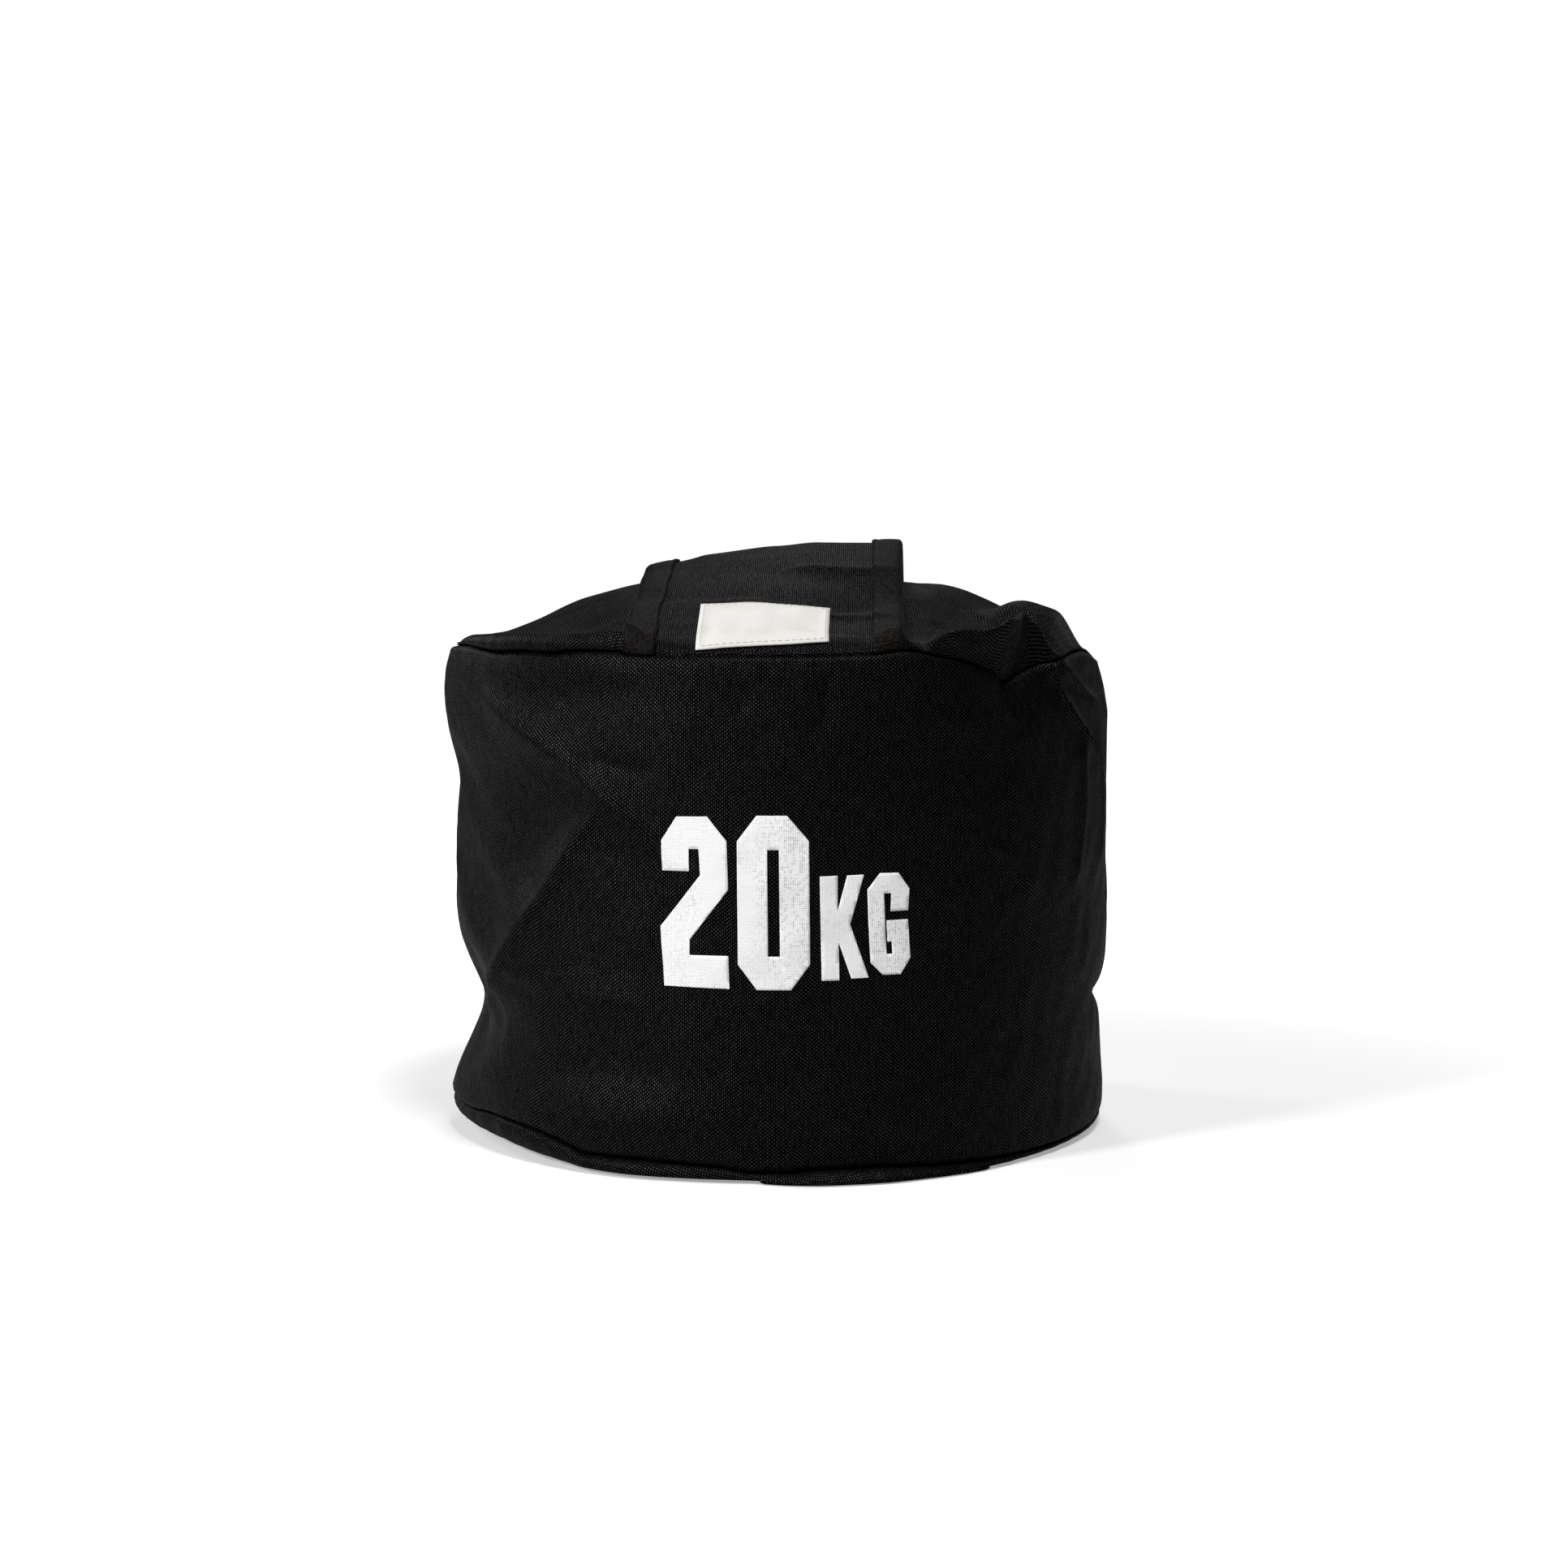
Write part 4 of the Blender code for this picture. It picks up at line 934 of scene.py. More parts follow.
def curl(radius, height, angles):
    """Rings of a seam's curl, from the radius and height at which the wall meets it."""
    return [(radius - CURL + CURL * math.cos(angle), height + CURL * math.sin(angle))
            for angle in angles]


def wall_cloth(materials):
    """The side wall, from the allowance inside its base seam to the one inside its top seam."""
    azimuth = all_round()
    low, high = base_seam(azimuth) + CURL, top_seam(azimuth) - CURL
    low_radius, high_radius = wall_radius(azimuth, low), wall_radius(azimuth, high)
    heights = [low + (high - low) * share for share in np.linspace(0, 1, WALL_ROWS)]
    rings = [(low_radius - 2 * CURL, low + rise) for rise in (TUCK, TUCK / 2)]
    rings += curl(low_radius, low, np.linspace(math.pi, 2 * math.pi, CURL_ROWS, endpoint=False))
    rings += [(wall_radius(azimuth, height), height) for height in heights]
    rings += curl(high_radius, high, np.linspace(0, math.pi, CURL_ROWS + 1)[1:])
    rings += [(high_radius - 2 * CURL, high - drop) for drop in (TUCK / 2, TUCK)]
    points = np.stack([on_drum(azimuth, radius, height) for radius, height in rings])
    up = far_along(points)
    flat = stacked(np.radians(np.append(azimuth, 180.0)) * BAG_RADIUS,
                   closed(up - up[len(up) // 2]))
    return layer("wall_cloth", points, flat, materials["shell"], CLOTH, wrap=True)


def top_cloth(materials):
    """The top panel: it comes up out of the seam, bulges out to its lip, and runs in over the
    sand."""
    azimuth = all_round()
    seam = top_seam(azimuth)
    edge = wall_radius(azimuth, seam - CURL)
    tucked = edge - 2 * CURL - TUCK_GAP
    leave, leave_height = edge - CURL - SEAM_STEP, seam + TUCK_GAP
    lip, lip_height = lip_place(azimuth)
    bulge = round_the_bag(RIM, azimuth, RIM_BULGE)
    under_lip = lip_height - 0.35 * (lip_height - leave_height)
    rings = [(tucked, seam - TUCK), (tucked, seam - TUCK / 2)]
    rings += bent([(tucked, seam - 0.3 * TUCK), (tucked, seam + 2 * TUCK_GAP),
                   (leave, leave_height)], np.linspace(0, 1, TURN_ROWS)[:-1])
    rings += bent([(leave, leave_height), (leave + 1.2 * bulge, leave_height),
                   (lip + bulge, under_lip), (lip, lip_height)], np.linspace(0, 1, FACE_ROWS))
    crumple = 0.8 * seam_puckers(azimuth * 1.3 + 20, 0.0)
    rings = [(radius + crumple * (i > TURN_ROWS), height)
             for i, (radius, height) in enumerate(rings)]
    for share in np.linspace(0, 1, DOME_ROWS)[1:] ** 1.15:
        radius = lip * (1 - share)
        rings.append((radius + crumple * (1 - share) ** 6, top_height(azimuth, radius)))
    return revolved("top_cloth", rings, 42, materials["shell"], CLOTH, hidden=False,
                    inwards=True, close=True)


def base_cloth(materials):
    """The base panel: flat on the floor, then up round its corner to the base seam."""
    azimuth = all_round()
    seam = base_seam(azimuth)
    edge = wall_radius(azimuth, seam + CURL)
    tucked = edge - 2 * CURL - TUCK_GAP
    leave = (edge - CURL - SEAM_STEP, seam - TUCK_GAP)
    foot = round_the_bag(FOOT, azimuth, FOOT_RADIUS)
    outer = edge + round_the_bag(FOOT, azimuth, FOOT_BULGE)
    floor = np.full(len(azimuth), CLOTH)
    corner = [(foot, floor), (outer - CURL / 4, floor - 0.6 * MM), (outer, seam), leave]
    wobble = 4 * seam_puckers(azimuth * 0.9 - 15, CLOTH)
    shares = np.linspace(0, 1, BAND_ROWS)
    rings = [(foot * share, floor) for share in np.linspace(0, 1, FLOOR_ROWS, endpoint=False)]
    rings += [(radius + wobble * share * (1 - share), height)
              for share, (radius, height) in zip(shares, bent(corner, shares))]
    rings += bent([leave, (tucked, seam - 2 * TUCK_GAP), (tucked, seam + 0.3 * TUCK)],
                  np.linspace(0, 1, TURN_ROWS)[1:])
    rings.append((tucked, seam + TUCK))
    return revolved("base_cloth", rings, -44, materials["shell"], CLOTH, hidden=False)


# Inside the bag


def seam_tape(name, edge, fold, way, materials):
    """A tape folded round the ends of a seam's two allowances. way is 1 where they point up."""
    inner = edge - 2 * CURL - TUCK_GAP - CLOTH - SEAM_TAPE_ROOM
    outer = edge - 2 * CURL + CLOTH + SEAM_TAPE_ROOM
    path = ((outer, -6.0), (outer, -3.0), (outer, -0.6), (outer - 0.5 * MM, 0.1),
            (inner + 0.5 * MM, 0.1), (inner, -0.6), (inner, -3.0), (inner, -6.0))
    rings = [(radius, fold + way * (rise + 0.5) * MM) for radius, rise in path]
    return revolved(name, rings[::way], 0, materials["binding"], SEAM_TAPE_CLOTH,
                    offset=1.0)


def back_tape(materials):
    """Tape over the wall's upright seam, inside the back."""
    across = 180 + np.degrees(np.linspace(-BACK_TAPE_HALF, BACK_TAPE_HALF, 9) / BAG_RADIUS)
    azimuth, height = np.meshgrid(across, np.linspace(*BACK_TAPE_ENDS, 70))
    points = on_drum(azimuth, wall_radius(azimuth, height) - CLOTH - BACK_TAPE_GAP, height)
    flat = stacked(np.radians(azimuth) * BAG_RADIUS, height)
    return layer("back_tape_cloth", points, flat, materials["binding"], BACK_TAPE_CLOTH)


def liner_rings(azimuth, gap):
    """Rings down the filled liner's body, this far inside the bag, from its top to the middle of
    its floor."""
    low_turn, high_turn = 42 * MM, 26 * MM
    floor, top = CLOTH + gap / 4, LINER_TOP - gap / 4
    angle = np.radians(azimuth)
    pleat = 0.35 * MM * np.sin(angle * 60) + 0.2 * MM * np.sin(angle * 97)
    rows = [(share, top, high_turn) for share in np.linspace(0.26, 1, 14, endpoint=False)]
    rows += [(1.0, top - high_turn * (1 - math.sin(turn)), high_turn * (1 - math.cos(turn)))
             for turn in np.radians(np.linspace(90, 0, 9))]
    rows += [(1.0, height, 0.0)
             for height in np.linspace(top - high_turn, floor + low_turn, 40)[1:-1]]
    rows += [(1.0, floor + low_turn * (1 - math.sin(turn)), low_turn * (1 - math.cos(turn)))
             for turn in np.radians(np.linspace(0, 90, 10))]
    rings = []
    for share, height, turned_in in rows:
        side = wall_radius(azimuth, np.full(len(azimuth), height)) - CLOTH - gap
        rings.append(((side - turned_in) * share + pleat * (3 - 2 * share),
                      height + 4 * pleat * (1 - share)))
    return rings + [(40 * MM, floor), (0.0, floor)]


def liner_film(materials):
    """The sand's own bag: its mouth is gathered, tied and spread out over the tie."""
    azimuth = all_round(hidden=True)
    pleats = np.sin(np.radians(azimuth) * 14) + 0.5 * np.sin(np.radians(azimuth) * 23 + 1)
    neck = ((13.2, 236.2, 0.9), (9.6, 234.8, 0.8), (6.4, 232.2, 0.35), (5.7, 229.0, 0.15),
            (6.4, 225.8, 0.35), (11.0, 219.0, 0.9), (19.0, 209.0, 1.2), (28.0, 202.4, 1.0))
    rings = [((radius + fold * pleats) * MM, height * MM) for radius, height, fold in neck]
    rings += liner_rings(azimuth, LINER_GAP)
    return revolved("liner_film", rings[::-1], 0, materials["liner"], LINER_CLOTH, inwards=True)


def sand_heap(materials):
    """The sand, which fills the liner up to its shoulder and lies a little uneven on top."""
    azimuth = all_round(hidden=True)
    body = liner_rings(azimuth, SAND_GAP)[5:]
    edge, level = body[0][0], body[0][1].mean()
    top = []
    for share in np.linspace(0, 1, 9)[:-1]:
        x, y = plan(azimuth, edge * share / MM)
        uneven = (0.9 * ripples(x, -y, 40, 61) - 1.0) * MM * (1 - share)
        top.append((edge * share, level + uneven))
    return revolved("sand_heap", (top + body)[::-1], 0, materials["sand"], inwards=True,
                    close=True)


# Flap


def ground(x, y):
    """Height of the top panel's outer face under this place."""
    return top_height(np.degrees(np.arctan2(x, -y)), np.hypot(x, y))


def flap_middle(y):
    """The flap's middle line: the flap was sewn on a little to the left and askew."""
    return FLAP_ROOT_X + FLAP_SLANT * (y - HINGE_Y)


def flap_height(x, y):
    """Height of the flap's upper face, from its hinge to its free end, this far from its middle."""
    share = (y - HINGE_Y) / FLAP_LENGTH
    across = x / FLAP_HALF
    rising = smooth_step(share, 0.0, TILT_SHARES[0])
    falling = 1 - smooth_step(share, TILT_SHARES[1], TILT_SHARES[2])
    drop = FLAP_LEFT_DROP * np.clip(-across, 0, None) ** 1.6
    lift = FLAP_RIGHT_LIFT * smooth_step(across, 0.0, 0.35)
    hollow = FLAP_RIGHT_HOLLOW * smooth_step(across, -0.2, 0.6) * bell(share - 0.135, 0.085)
    tent = HINGE_Z + FLAP_RISE * through(FLAP_RIDGE_SHARES, share)
    tent = tent + (lift - drop) * rising * falling - hollow
    least = ground(x + flap_middle(y), y) + least_cover(x, y)
    return soft_max(tent, least, FLAP_SOFTNESS * rising + COVER_SOFTNESS) + flap_creases(x, y)


def least_cover(x, y):
    """What lies between the top panel and the flap's upper face."""
    bound = FLAP_CLOTH + TUCK_GAP + BINDING_LIFT
    over_neck = FLAP_CLOTH + BINDING_LIFT + NECK_THICKNESS + COVER_GAP
    over_strips = FLAP_CLOTH + 2 * STRIP_CLOTH + COVER_GAP
    start, end = NECK_ROOT_Y - WELT_HALF_WIDTH, NECK_ROOT_Y + NECK_LENGTH
    rise = smooth_step(y, start - 2 * WELT_HALF_WIDTH, start)
    leave = smooth_step(y, end + COVER_END_SLOPE[0], end + COVER_END_SLOPE[1])
    beside = smooth_step(-x, NECK_HALF - NECK_X, NECK_HALF - NECK_X + COVER_SIDE_SLOPE)
    over = over_neck + (over_strips - over_neck) * np.maximum(leave, beside)
    return bound + (over - bound) * rise


def flap_creases(x, y):
    """Faint creases across the flap, and unevenness between its bindings."""
    place = (x / MM, (y - HINGE_Y) / MM)
    total = 0.22 * ripples(*place, 30, 21) + sum(ridge(*place, *crease) for crease in FLAP_CREASES)
    return total * smooth_step(y, HINGE_Y, HINGE_Y + FLAP_FIRST_CREASE) * MM


def flap_point(x, t):
    """Point of the flap's upper face. t runs from -1 in the seam to 0 at the hinge and 1 at the
    free end."""
    x, t = np.broadcast_arrays(np.asarray(x, float), np.asarray(t, float))
    inside = np.clip(x, -FLAP_HALF, FLAP_HALF)
    sewn = inside + flap_middle(HINGE_Y)
    seam_radius = BAG_RADIUS - CURL
    seam = top_seam(np.degrees(np.arcsin(sewn / seam_radius)))
    front = -np.sqrt(seam_radius ** 2 - sewn ** 2)
    hinge_y = HINGE_Y + 0 * inside
    hinge = flap_height(inside, hinge_y)
    slope = (flap_height(inside, hinge_y + 2 * MM) - hinge) / (2 * MM)
    reach = (HINGE_Y - front) * 0.45
    controls = [(front + 0.6 * MM, seam - 1.5 * MM), (front - 0.9 * MM, seam + 3.6 * MM),
                (HINGE_Y - reach, hinge - slope * reach), (hinge_y, hinge)]
    root_y, root_z = bent(controls, [np.clip(1 + t, 0, 1)])[0]
    leaf_y = HINGE_Y + np.clip(t, 0, None) * FLAP_LENGTH
    return stacked(x + flap_middle(leaf_y), np.where(t < 0, root_y, leaf_y),
                   np.where(t < 0, root_z, flap_height(inside, leaf_y)))


def flap_normal(x, t):
    """Unit normal of the flap's upper face."""
    step_x, step_t = 1 * MM, 0.006
    across = flap_point(x + step_x, t) - flap_point(x - step_x, t)
    ahead = flap_point(x, np.clip(t + step_t, -1, 1)) - flap_point(x, np.clip(t - step_t, -1, 1))
    return unit(np.cross(across, ahead))


def over_flap(x, t, lift):
    """The point this far above the flap's upper face."""
    return flap_point(x, t) + flap_normal(x, t) * np.asarray(lift)[..., None]


def flap_rows(start=-1.0, end=1.0):
    """Places along the flap, closer together in its root."""
    root = np.linspace(-1, 0, FLAP_ROOT_ROWS, endpoint=False)
    leaf = np.linspace(0, 1, FLAP_LEAF_ROWS)
    inner = [t for t in np.concatenate([root, leaf]) if start < t < end]
    return np.array([start, *inner, end])


def flap_cloth(materials):
    """The flap itself, from inside the top seam to its free end."""
    t = flap_rows()
    x = np.linspace(-FLAP_HALF + BINDING_LIFT, FLAP_HALF - BINDING_LIFT, FLAP_COLUMNS)
    flat = stacked(x[None, :], far_along(flap_point(0.0, t))[:, None])
    return layer("flap_cloth", flap_point(*np.meshgrid(x, t)), flat, materials["flap"], FLAP_CLOTH)


def binding_section():
    """Outer face of a binding in section, from its inner upper edge round to its inner lower one:
    how far in from the flap's edge, and how far above its upper face."""
    high, low = BINDING_LIFT, -FLAP_CLOTH - BINDING_LIFT
    fold, middle = (high - low) / 2, (high + low) / 2
    inner = BINDING_WIDTH
    section = [(inner, high - 0.75 * MM), (inner - 0.15 * MM, high - 0.1 * MM),
               (inner - 0.8 * MM, high + 0.1 * MM), (inner - 2.2 * MM, high - 0.12 * MM),
               (inner - 4 * MM, high + 0.12 * MM), (inner / 2, high + 0.15 * MM),
               (inner / 4, high + 0.1 * MM)]
    section += [(fold * 0.7 * (1 - math.cos(turn)), middle + fold * math.sin(turn))
                for turn in np.radians(np.linspace(80, -80, 6))]
    section += [(inner / 4, low - 0.1 * MM), (inner / 2, low - 0.1 * MM), (inner, low + 0.1 * MM)]
    return np.array(section).T


def bound_edge(name, along, place, materials, turned):
    """A binding: its section, carried along the flap's edge. place gives x and t for a distance in
    from the edge and a place along it."""
    depth, lift = binding_section()
    inwards, along = np.meshgrid(depth, along)
    wander = 0.25 * MM * np.sin(along * 61) + 0.15 * MM * np.sin(along * 23 + 1)
    inwards = inwards + wander * inwards / BINDING_WIDTH * (inwards > BINDING_WIDTH / 3)
    points = over_flap(*place(inwards, along), lift)
    if turned:
        points = points[:, ::-1]
    flat = stacked(far_along(points[1])[None, :], far_along(points)[:, :1])
    return layer(name, points, flat, materials["binding"], BINDING_CLOTH * 0.75)


def side_binding(name, side, materials):
    """The binding along the flap's left or right edge. side is -1 or 1."""

    def place(inwards, along):
        return side * (FLAP_HALF - inwards), along

    along = flap_rows(-0.86, 1 - BINDING_WIDTH / FLAP_LENGTH)
    return bound_edge(name, along, place, materials, side > 0)


def end_binding(materials):
    """The binding along the flap's free end."""

    def place(inwards, along):
        return along, 1 + (BINDING_LIFT - inwards) / FLAP_LENGTH

    along = np.linspace(-FLAP_HALF, FLAP_HALF, FLAP_COLUMNS)
    return bound_edge("flap_binding_end_cloth", along, place, materials, True)


def sewn_line(x, t, lift):
    """A line for stitches, this far above the flap's upper face."""
    return over_flap(x, t, lift), flap_normal(x, t)


def flap_stitching(materials):
    """Rows of black stitches along the bindings."""
    t = flap_rows(-0.8, 1 - BINDING_WIDTH / FLAP_LENGTH)
    x = np.linspace(-FLAP_HALF + STITCH_MARGIN, FLAP_HALF - STITCH_MARGIN, FLAP_COLUMNS)
    rows = [(side * (FLAP_HALF - inset), t) for side in (-1, 1) for inset in STITCH_INSETS]
    rows += [(x, 1 + (BINDING_LIFT - inset) / FLAP_LENGTH) for inset in STITCH_INSETS]
    lines = [sewn_line(*row, BINDING_LIFT + STITCH_LIFT) for row in rows]
    return stitches("flap_stitching", lines, materials["thread"])


def label_place(across, along):
    """x and t of a place on the label, given from its lower left corner, in metres. The label was
    sewn on a little askew."""
    x = -LABEL_SHIFT - LABEL_WIDTH / 2 + across
    far = LABEL_START + 0.93 * along + LABEL_SLANT * (across - LABEL_WIDTH / 2)
    return x, np.where(far < 0, far / FLAP_ROOT_LENGTH, far / FLAP_LENGTH)


def label_cloth(materials):
    """The label, blank, with its edges turned under."""
    across, along = np.meshgrid(np.linspace(0, LABEL_WIDTH, 44), np.linspace(0, LABEL_LENGTH, 40))
    edge = np.minimum(np.minimum(across, LABEL_WIDTH - across),
                      np.minimum(along, LABEL_LENGTH - along))
    thick = LABEL_CLOTH * (1.0 + 0.7 * (1 - smooth_step(edge, *LABEL_HEM)))
    thick = thick - 0.2 * MM * (1 - smooth_step(edge, 0, LABEL_EDGE))
    loose = 0.25 * MM * ripples(across / MM, along / MM, 19, 31) + 0.3 * MM
    lift = LABEL_LIFT + thick + loose * smooth_step(edge, *LABEL_LOOSE)
    points = over_flap(*label_place(across, along), lift)
    return layer("label_cloth", points, stacked(across, along), materials["label"], LABEL_CLOTH)


def label_stitching(materials):
    """White stitches round the label, a little in from its edge."""
    inset = LABEL_STITCH_INSET
    right, top = LABEL_WIDTH - inset, LABEL_LENGTH - inset
    corners = ((inset, inset), (right, inset), (right, top), (inset, top), (inset, inset))
    lines = []
    for start, end in zip(corners, corners[1:]):
        across, along = np.linspace(start, end, 30).T
        lines.append(sewn_line(*label_place(across, along), LABEL_STITCH_LIFT))
    return stitches("label_stitching", lines, materials["white_thread"], *LABEL_STITCH_SIZE)


# Weight mark

# Plain chamfered block characters: their outer corners, and the corners of the hole
TWO = ((1.6, 0.6), (28, 0), (27.6, 13), (12, 13), (12, 19), (27.6, 39), (27, 58), (19.2, 67.6),
       (6.8, 67.4), (0.6, 58), (0.8, 46), (11.8, 46), (11.8, 54.8), (15.8, 54.8), (16.4, 44.6),
       (0, 24))
ZERO = ((7.8, 0), (21.2, 0), (28.6, 10), (28.2, 58.4), (19.6, 68.4), (7.6, 68.4), (0, 58.4),
        (0.4, 10))
ZERO_HOLE = ((12.2, 13.2), (16.8, 13.2), (16.4, 55), (11.8, 55))
LETTER_K = ((0.8, 0), (7.8, 0), (7.6, 15), (12.6, 0.6), (19.6, 0.8), (12.2, 22), (17.8, 41.4),
            (11, 41.2), (7.2, 27.4), (7.2, 41.2), (0, 41))
LETTER_G = ((6.4, 0), (13.8, 0), (18.2, 6.4), (17, 21.6), (8, 21.4), (8.4, 13), (10.2, 13),
            (10.4, 8.2), (8, 8.2), (6.8, 32.2), (9.8, 32.2), (9.6, 25), (17, 25.2), (17.4, 33.8),
            (12.8, 40.2), (5.2, 40.2), (0, 33.8), (1.2, 5))
# Each character of the mark: outline, hole, where its left side and its foot are
MARK = (
    (TWO, None, -45.8, 77.0),
    (ZERO, ZERO_HOLE, -14.8, 76.7),
    (LETTER_K, None, 17.6, 80.2),
    (LETTER_G, None, 36.8, 81.8),
)
MARK_MIDDLE = 110
# The ink is cut into cells this many millimetres wide, so that it bends with the wall
INK_CELL = 1.8
INK_LIFT = 0.16 * MM
INK_DEPTH = 0.30 * MM


def weight_mark(materials):
    """The bag's weight in plain block figures, printed on the front of the wall."""
    shaped = bmesh.new()
    for outline, hole, left, foot in MARK:
        edges = []
        for corners in filter(None, (outline, hole)):
            made = [shaped.verts.new((left + x, foot + y, 0)) for x, y in corners]
            edges += [shaped.edges.new((a, b)) for a, b in zip(made, made[1:] + made[:1])]
        bmesh.ops.triangle_fill(shaped, edges=edges, use_beauty=True)
    corners = np.array([vertex.co[:2] for vertex in shaped.verts])
    for axis, low, high in zip((0, 1), corners.min(axis=0), corners.max(axis=0)):
        normal = Vector((1 - axis, axis, 0))
        for at in np.arange(low + INK_CELL / 2, high, INK_CELL):
            whole = shaped.verts[:] + shaped.edges[:] + shaped.faces[:]
            bmesh.ops.bisect_plane(shaped, geom=whole, plane_co=normal * at, plane_no=normal)
    flat = shaped.loops.layers.uv.new("Flat")
    for face in shaped.faces:
        if face.normal.z < 0:
            face.normal_flip()
        for loop in face.loops:
            loop[flat].uv = (loop.vert.co.x * MM, (loop.vert.co.y - MARK_MIDDLE) * MM)
    for vertex in shaped.verts:
        azimuth, height = np.degrees(vertex.co.x * MM / BAG_RADIUS), vertex.co.y * MM
        vertex.co = on_drum(azimuth, wall_radius(azimuth, height) + INK_LIFT, height)
    mesh = bpy.data.meshes.new("weight_mark")
    shaped.to_mesh(mesh)
    shaped.free()
    return thicken(mesh_object("weight_mark", mesh, materials["ink"]), INK_DEPTH)


# Sleeve, welt and strips


def neck_under(x, y):
    """Height of the folded sleeve's lower face."""
    start = NECK_ROOT_Y + WELT_HALF_WIDTH
    share = smooth_step(y, start, start + WELT_HALF_WIDTH)
    return NECK_FLAT_Z + (ground(x, y) + NECK_GAP - NECK_FLAT_Z) * share


def sleeve_cloth(materials):
    """The filling sleeve, pressed flat: a tube with soft folded edges and hemmed mouth."""
    mouth = NECK_ROOT_Y + NECK_LENGTH
    half = NECK_THICKNESS / 2
    angle, y = np.meshgrid(np.linspace(0, 2 * math.pi, 56, endpoint=False),
                           np.linspace(NECK_ROOT_Y, mouth, 40))
    x = NECK_X + NECK_HALF * np.sign(np.cos(angle)) * np.abs(np.cos(angle)) ** 0.55
    rise = np.sign(np.sin(angle)) * np.abs(np.sin(angle)) ** 0.45
    wrinkle = 0.35 * MM * ripples(x / MM, y / MM, 16, 41) * (rise > 0)
    hem = 0.2 * MM * smooth_step(y, mouth - NECK_HEM[0], mouth - NECK_HEM[1])
    points = stacked(x, y, neck_under(x, y) + half + (half + hem) * rise + wrinkle)
    flat = stacked(far_along(closed(points)[0])[None, :], (y[:, :1] - NECK_ROOT_Y))
    return layer("sleeve_cloth", points, flat, materials["sleeve"], NECK_CLOTH, 1.0, wrap=True)


def sleeve_stitching(materials):
    """Stitches of the sleeve's hem and of its closure's tapes."""
    reach = NECK_HALF - NECK_STITCH_MARGIN
    x = np.linspace(NECK_X - reach, NECK_X + reach, 40)
    up = np.tile((0.0, 0.0, 1.0), (40, 1))
    lines = []
    for back in NECK_STITCH_ROWS:
        y = NECK_ROOT_Y + NECK_LENGTH - back + 0 * x
        lines.append((stacked(x, y, neck_under(x, y) + NECK_THICKNESS + NECK_STITCH_LIFT), up))
    return stitches("sleeve_stitching", lines, materials["thread"])


def welt_cloth(materials):
    """The welt round the slot: two padded lips on a stitched patch."""
    x, y = np.meshgrid(np.linspace(-WELT_HALF_LENGTH, WELT_HALF_LENGTH, 60),
                       np.linspace(-WELT_HALF_WIDTH, WELT_HALF_WIDTH, 26))
    end = WELT_HALF_LENGTH - np.abs(x)
    sides = smooth_step(WELT_HALF_WIDTH - np.abs(y), 0, WELT_EDGE)
    lip = bell(np.abs(y) - WELT_LIP_PLACE, WELT_LIP_HALF) * smooth_step(end, 2 * MM, 6 * MM)
    slit = bell(y, WELT_SLIT_HALF) * smooth_step(end, 4 * MM, 5 * MM)
    lift = (0.55 + 0.7 * lip - 1.1 * slit) * MM * smooth_step(end, 0, 3 * MM) * sides
    level = ground(NECK_X + x, NECK_ROOT_Y + y) + WELT_GAP
    points = stacked(NECK_X + x, NECK_ROOT_Y + y, level + lift)
    return layer("welt_cloth", points, stacked(x, y), materials["binding"], WELT_CLOTH)


def bristles(name, places, normals, material, length, lean):
    """Short stiff hooks or loops that stand on a tape."""
    draw = np.random.default_rng(51)
    turns = 2 * math.pi * np.arange(3)[:, None] / 3
    made = []
    for point, normal in zip(places, normals):
        turn = draw.uniform(0, 2 * math.pi)
        side = np.array([math.cos(turn), math.sin(turn), 0.0])
        side = unit(side - normal * (side @ normal))
        ring = BRISTLE_RADIUS * (side * np.cos(turns) + np.cross(normal, side) * np.sin(turns))
        bend = ((0, 0), (0.6, 0), (0.95, 0.35 * lean), (0.75, 0.8 * lean))
        made.append(np.array([point + length * (normal * rise + side * out) + ring
                              for rise, out in bend]))
    return tubes(name, made, material)


def tape(name, place, material, above):
    """A strip of tape laid where place(x, y, lift) says."""
    x, y = np.meshgrid(np.linspace(-STRIP_LENGTH / 2, STRIP_LENGTH / 2, 60),
                       np.linspace(STRIP_START, STRIP_END, 18))
    edge = np.minimum(STRIP_LENGTH / 2 - np.abs(x), np.minimum(y - STRIP_START, STRIP_END - y))
    points = place(x, y, STRIP_CROWN * smooth_step(edge, 0, STRIP_ROUNDING))
    return layer(name, points, stacked(x, y), material, STRIP_TAPE, -1.0 if above else 1.0)


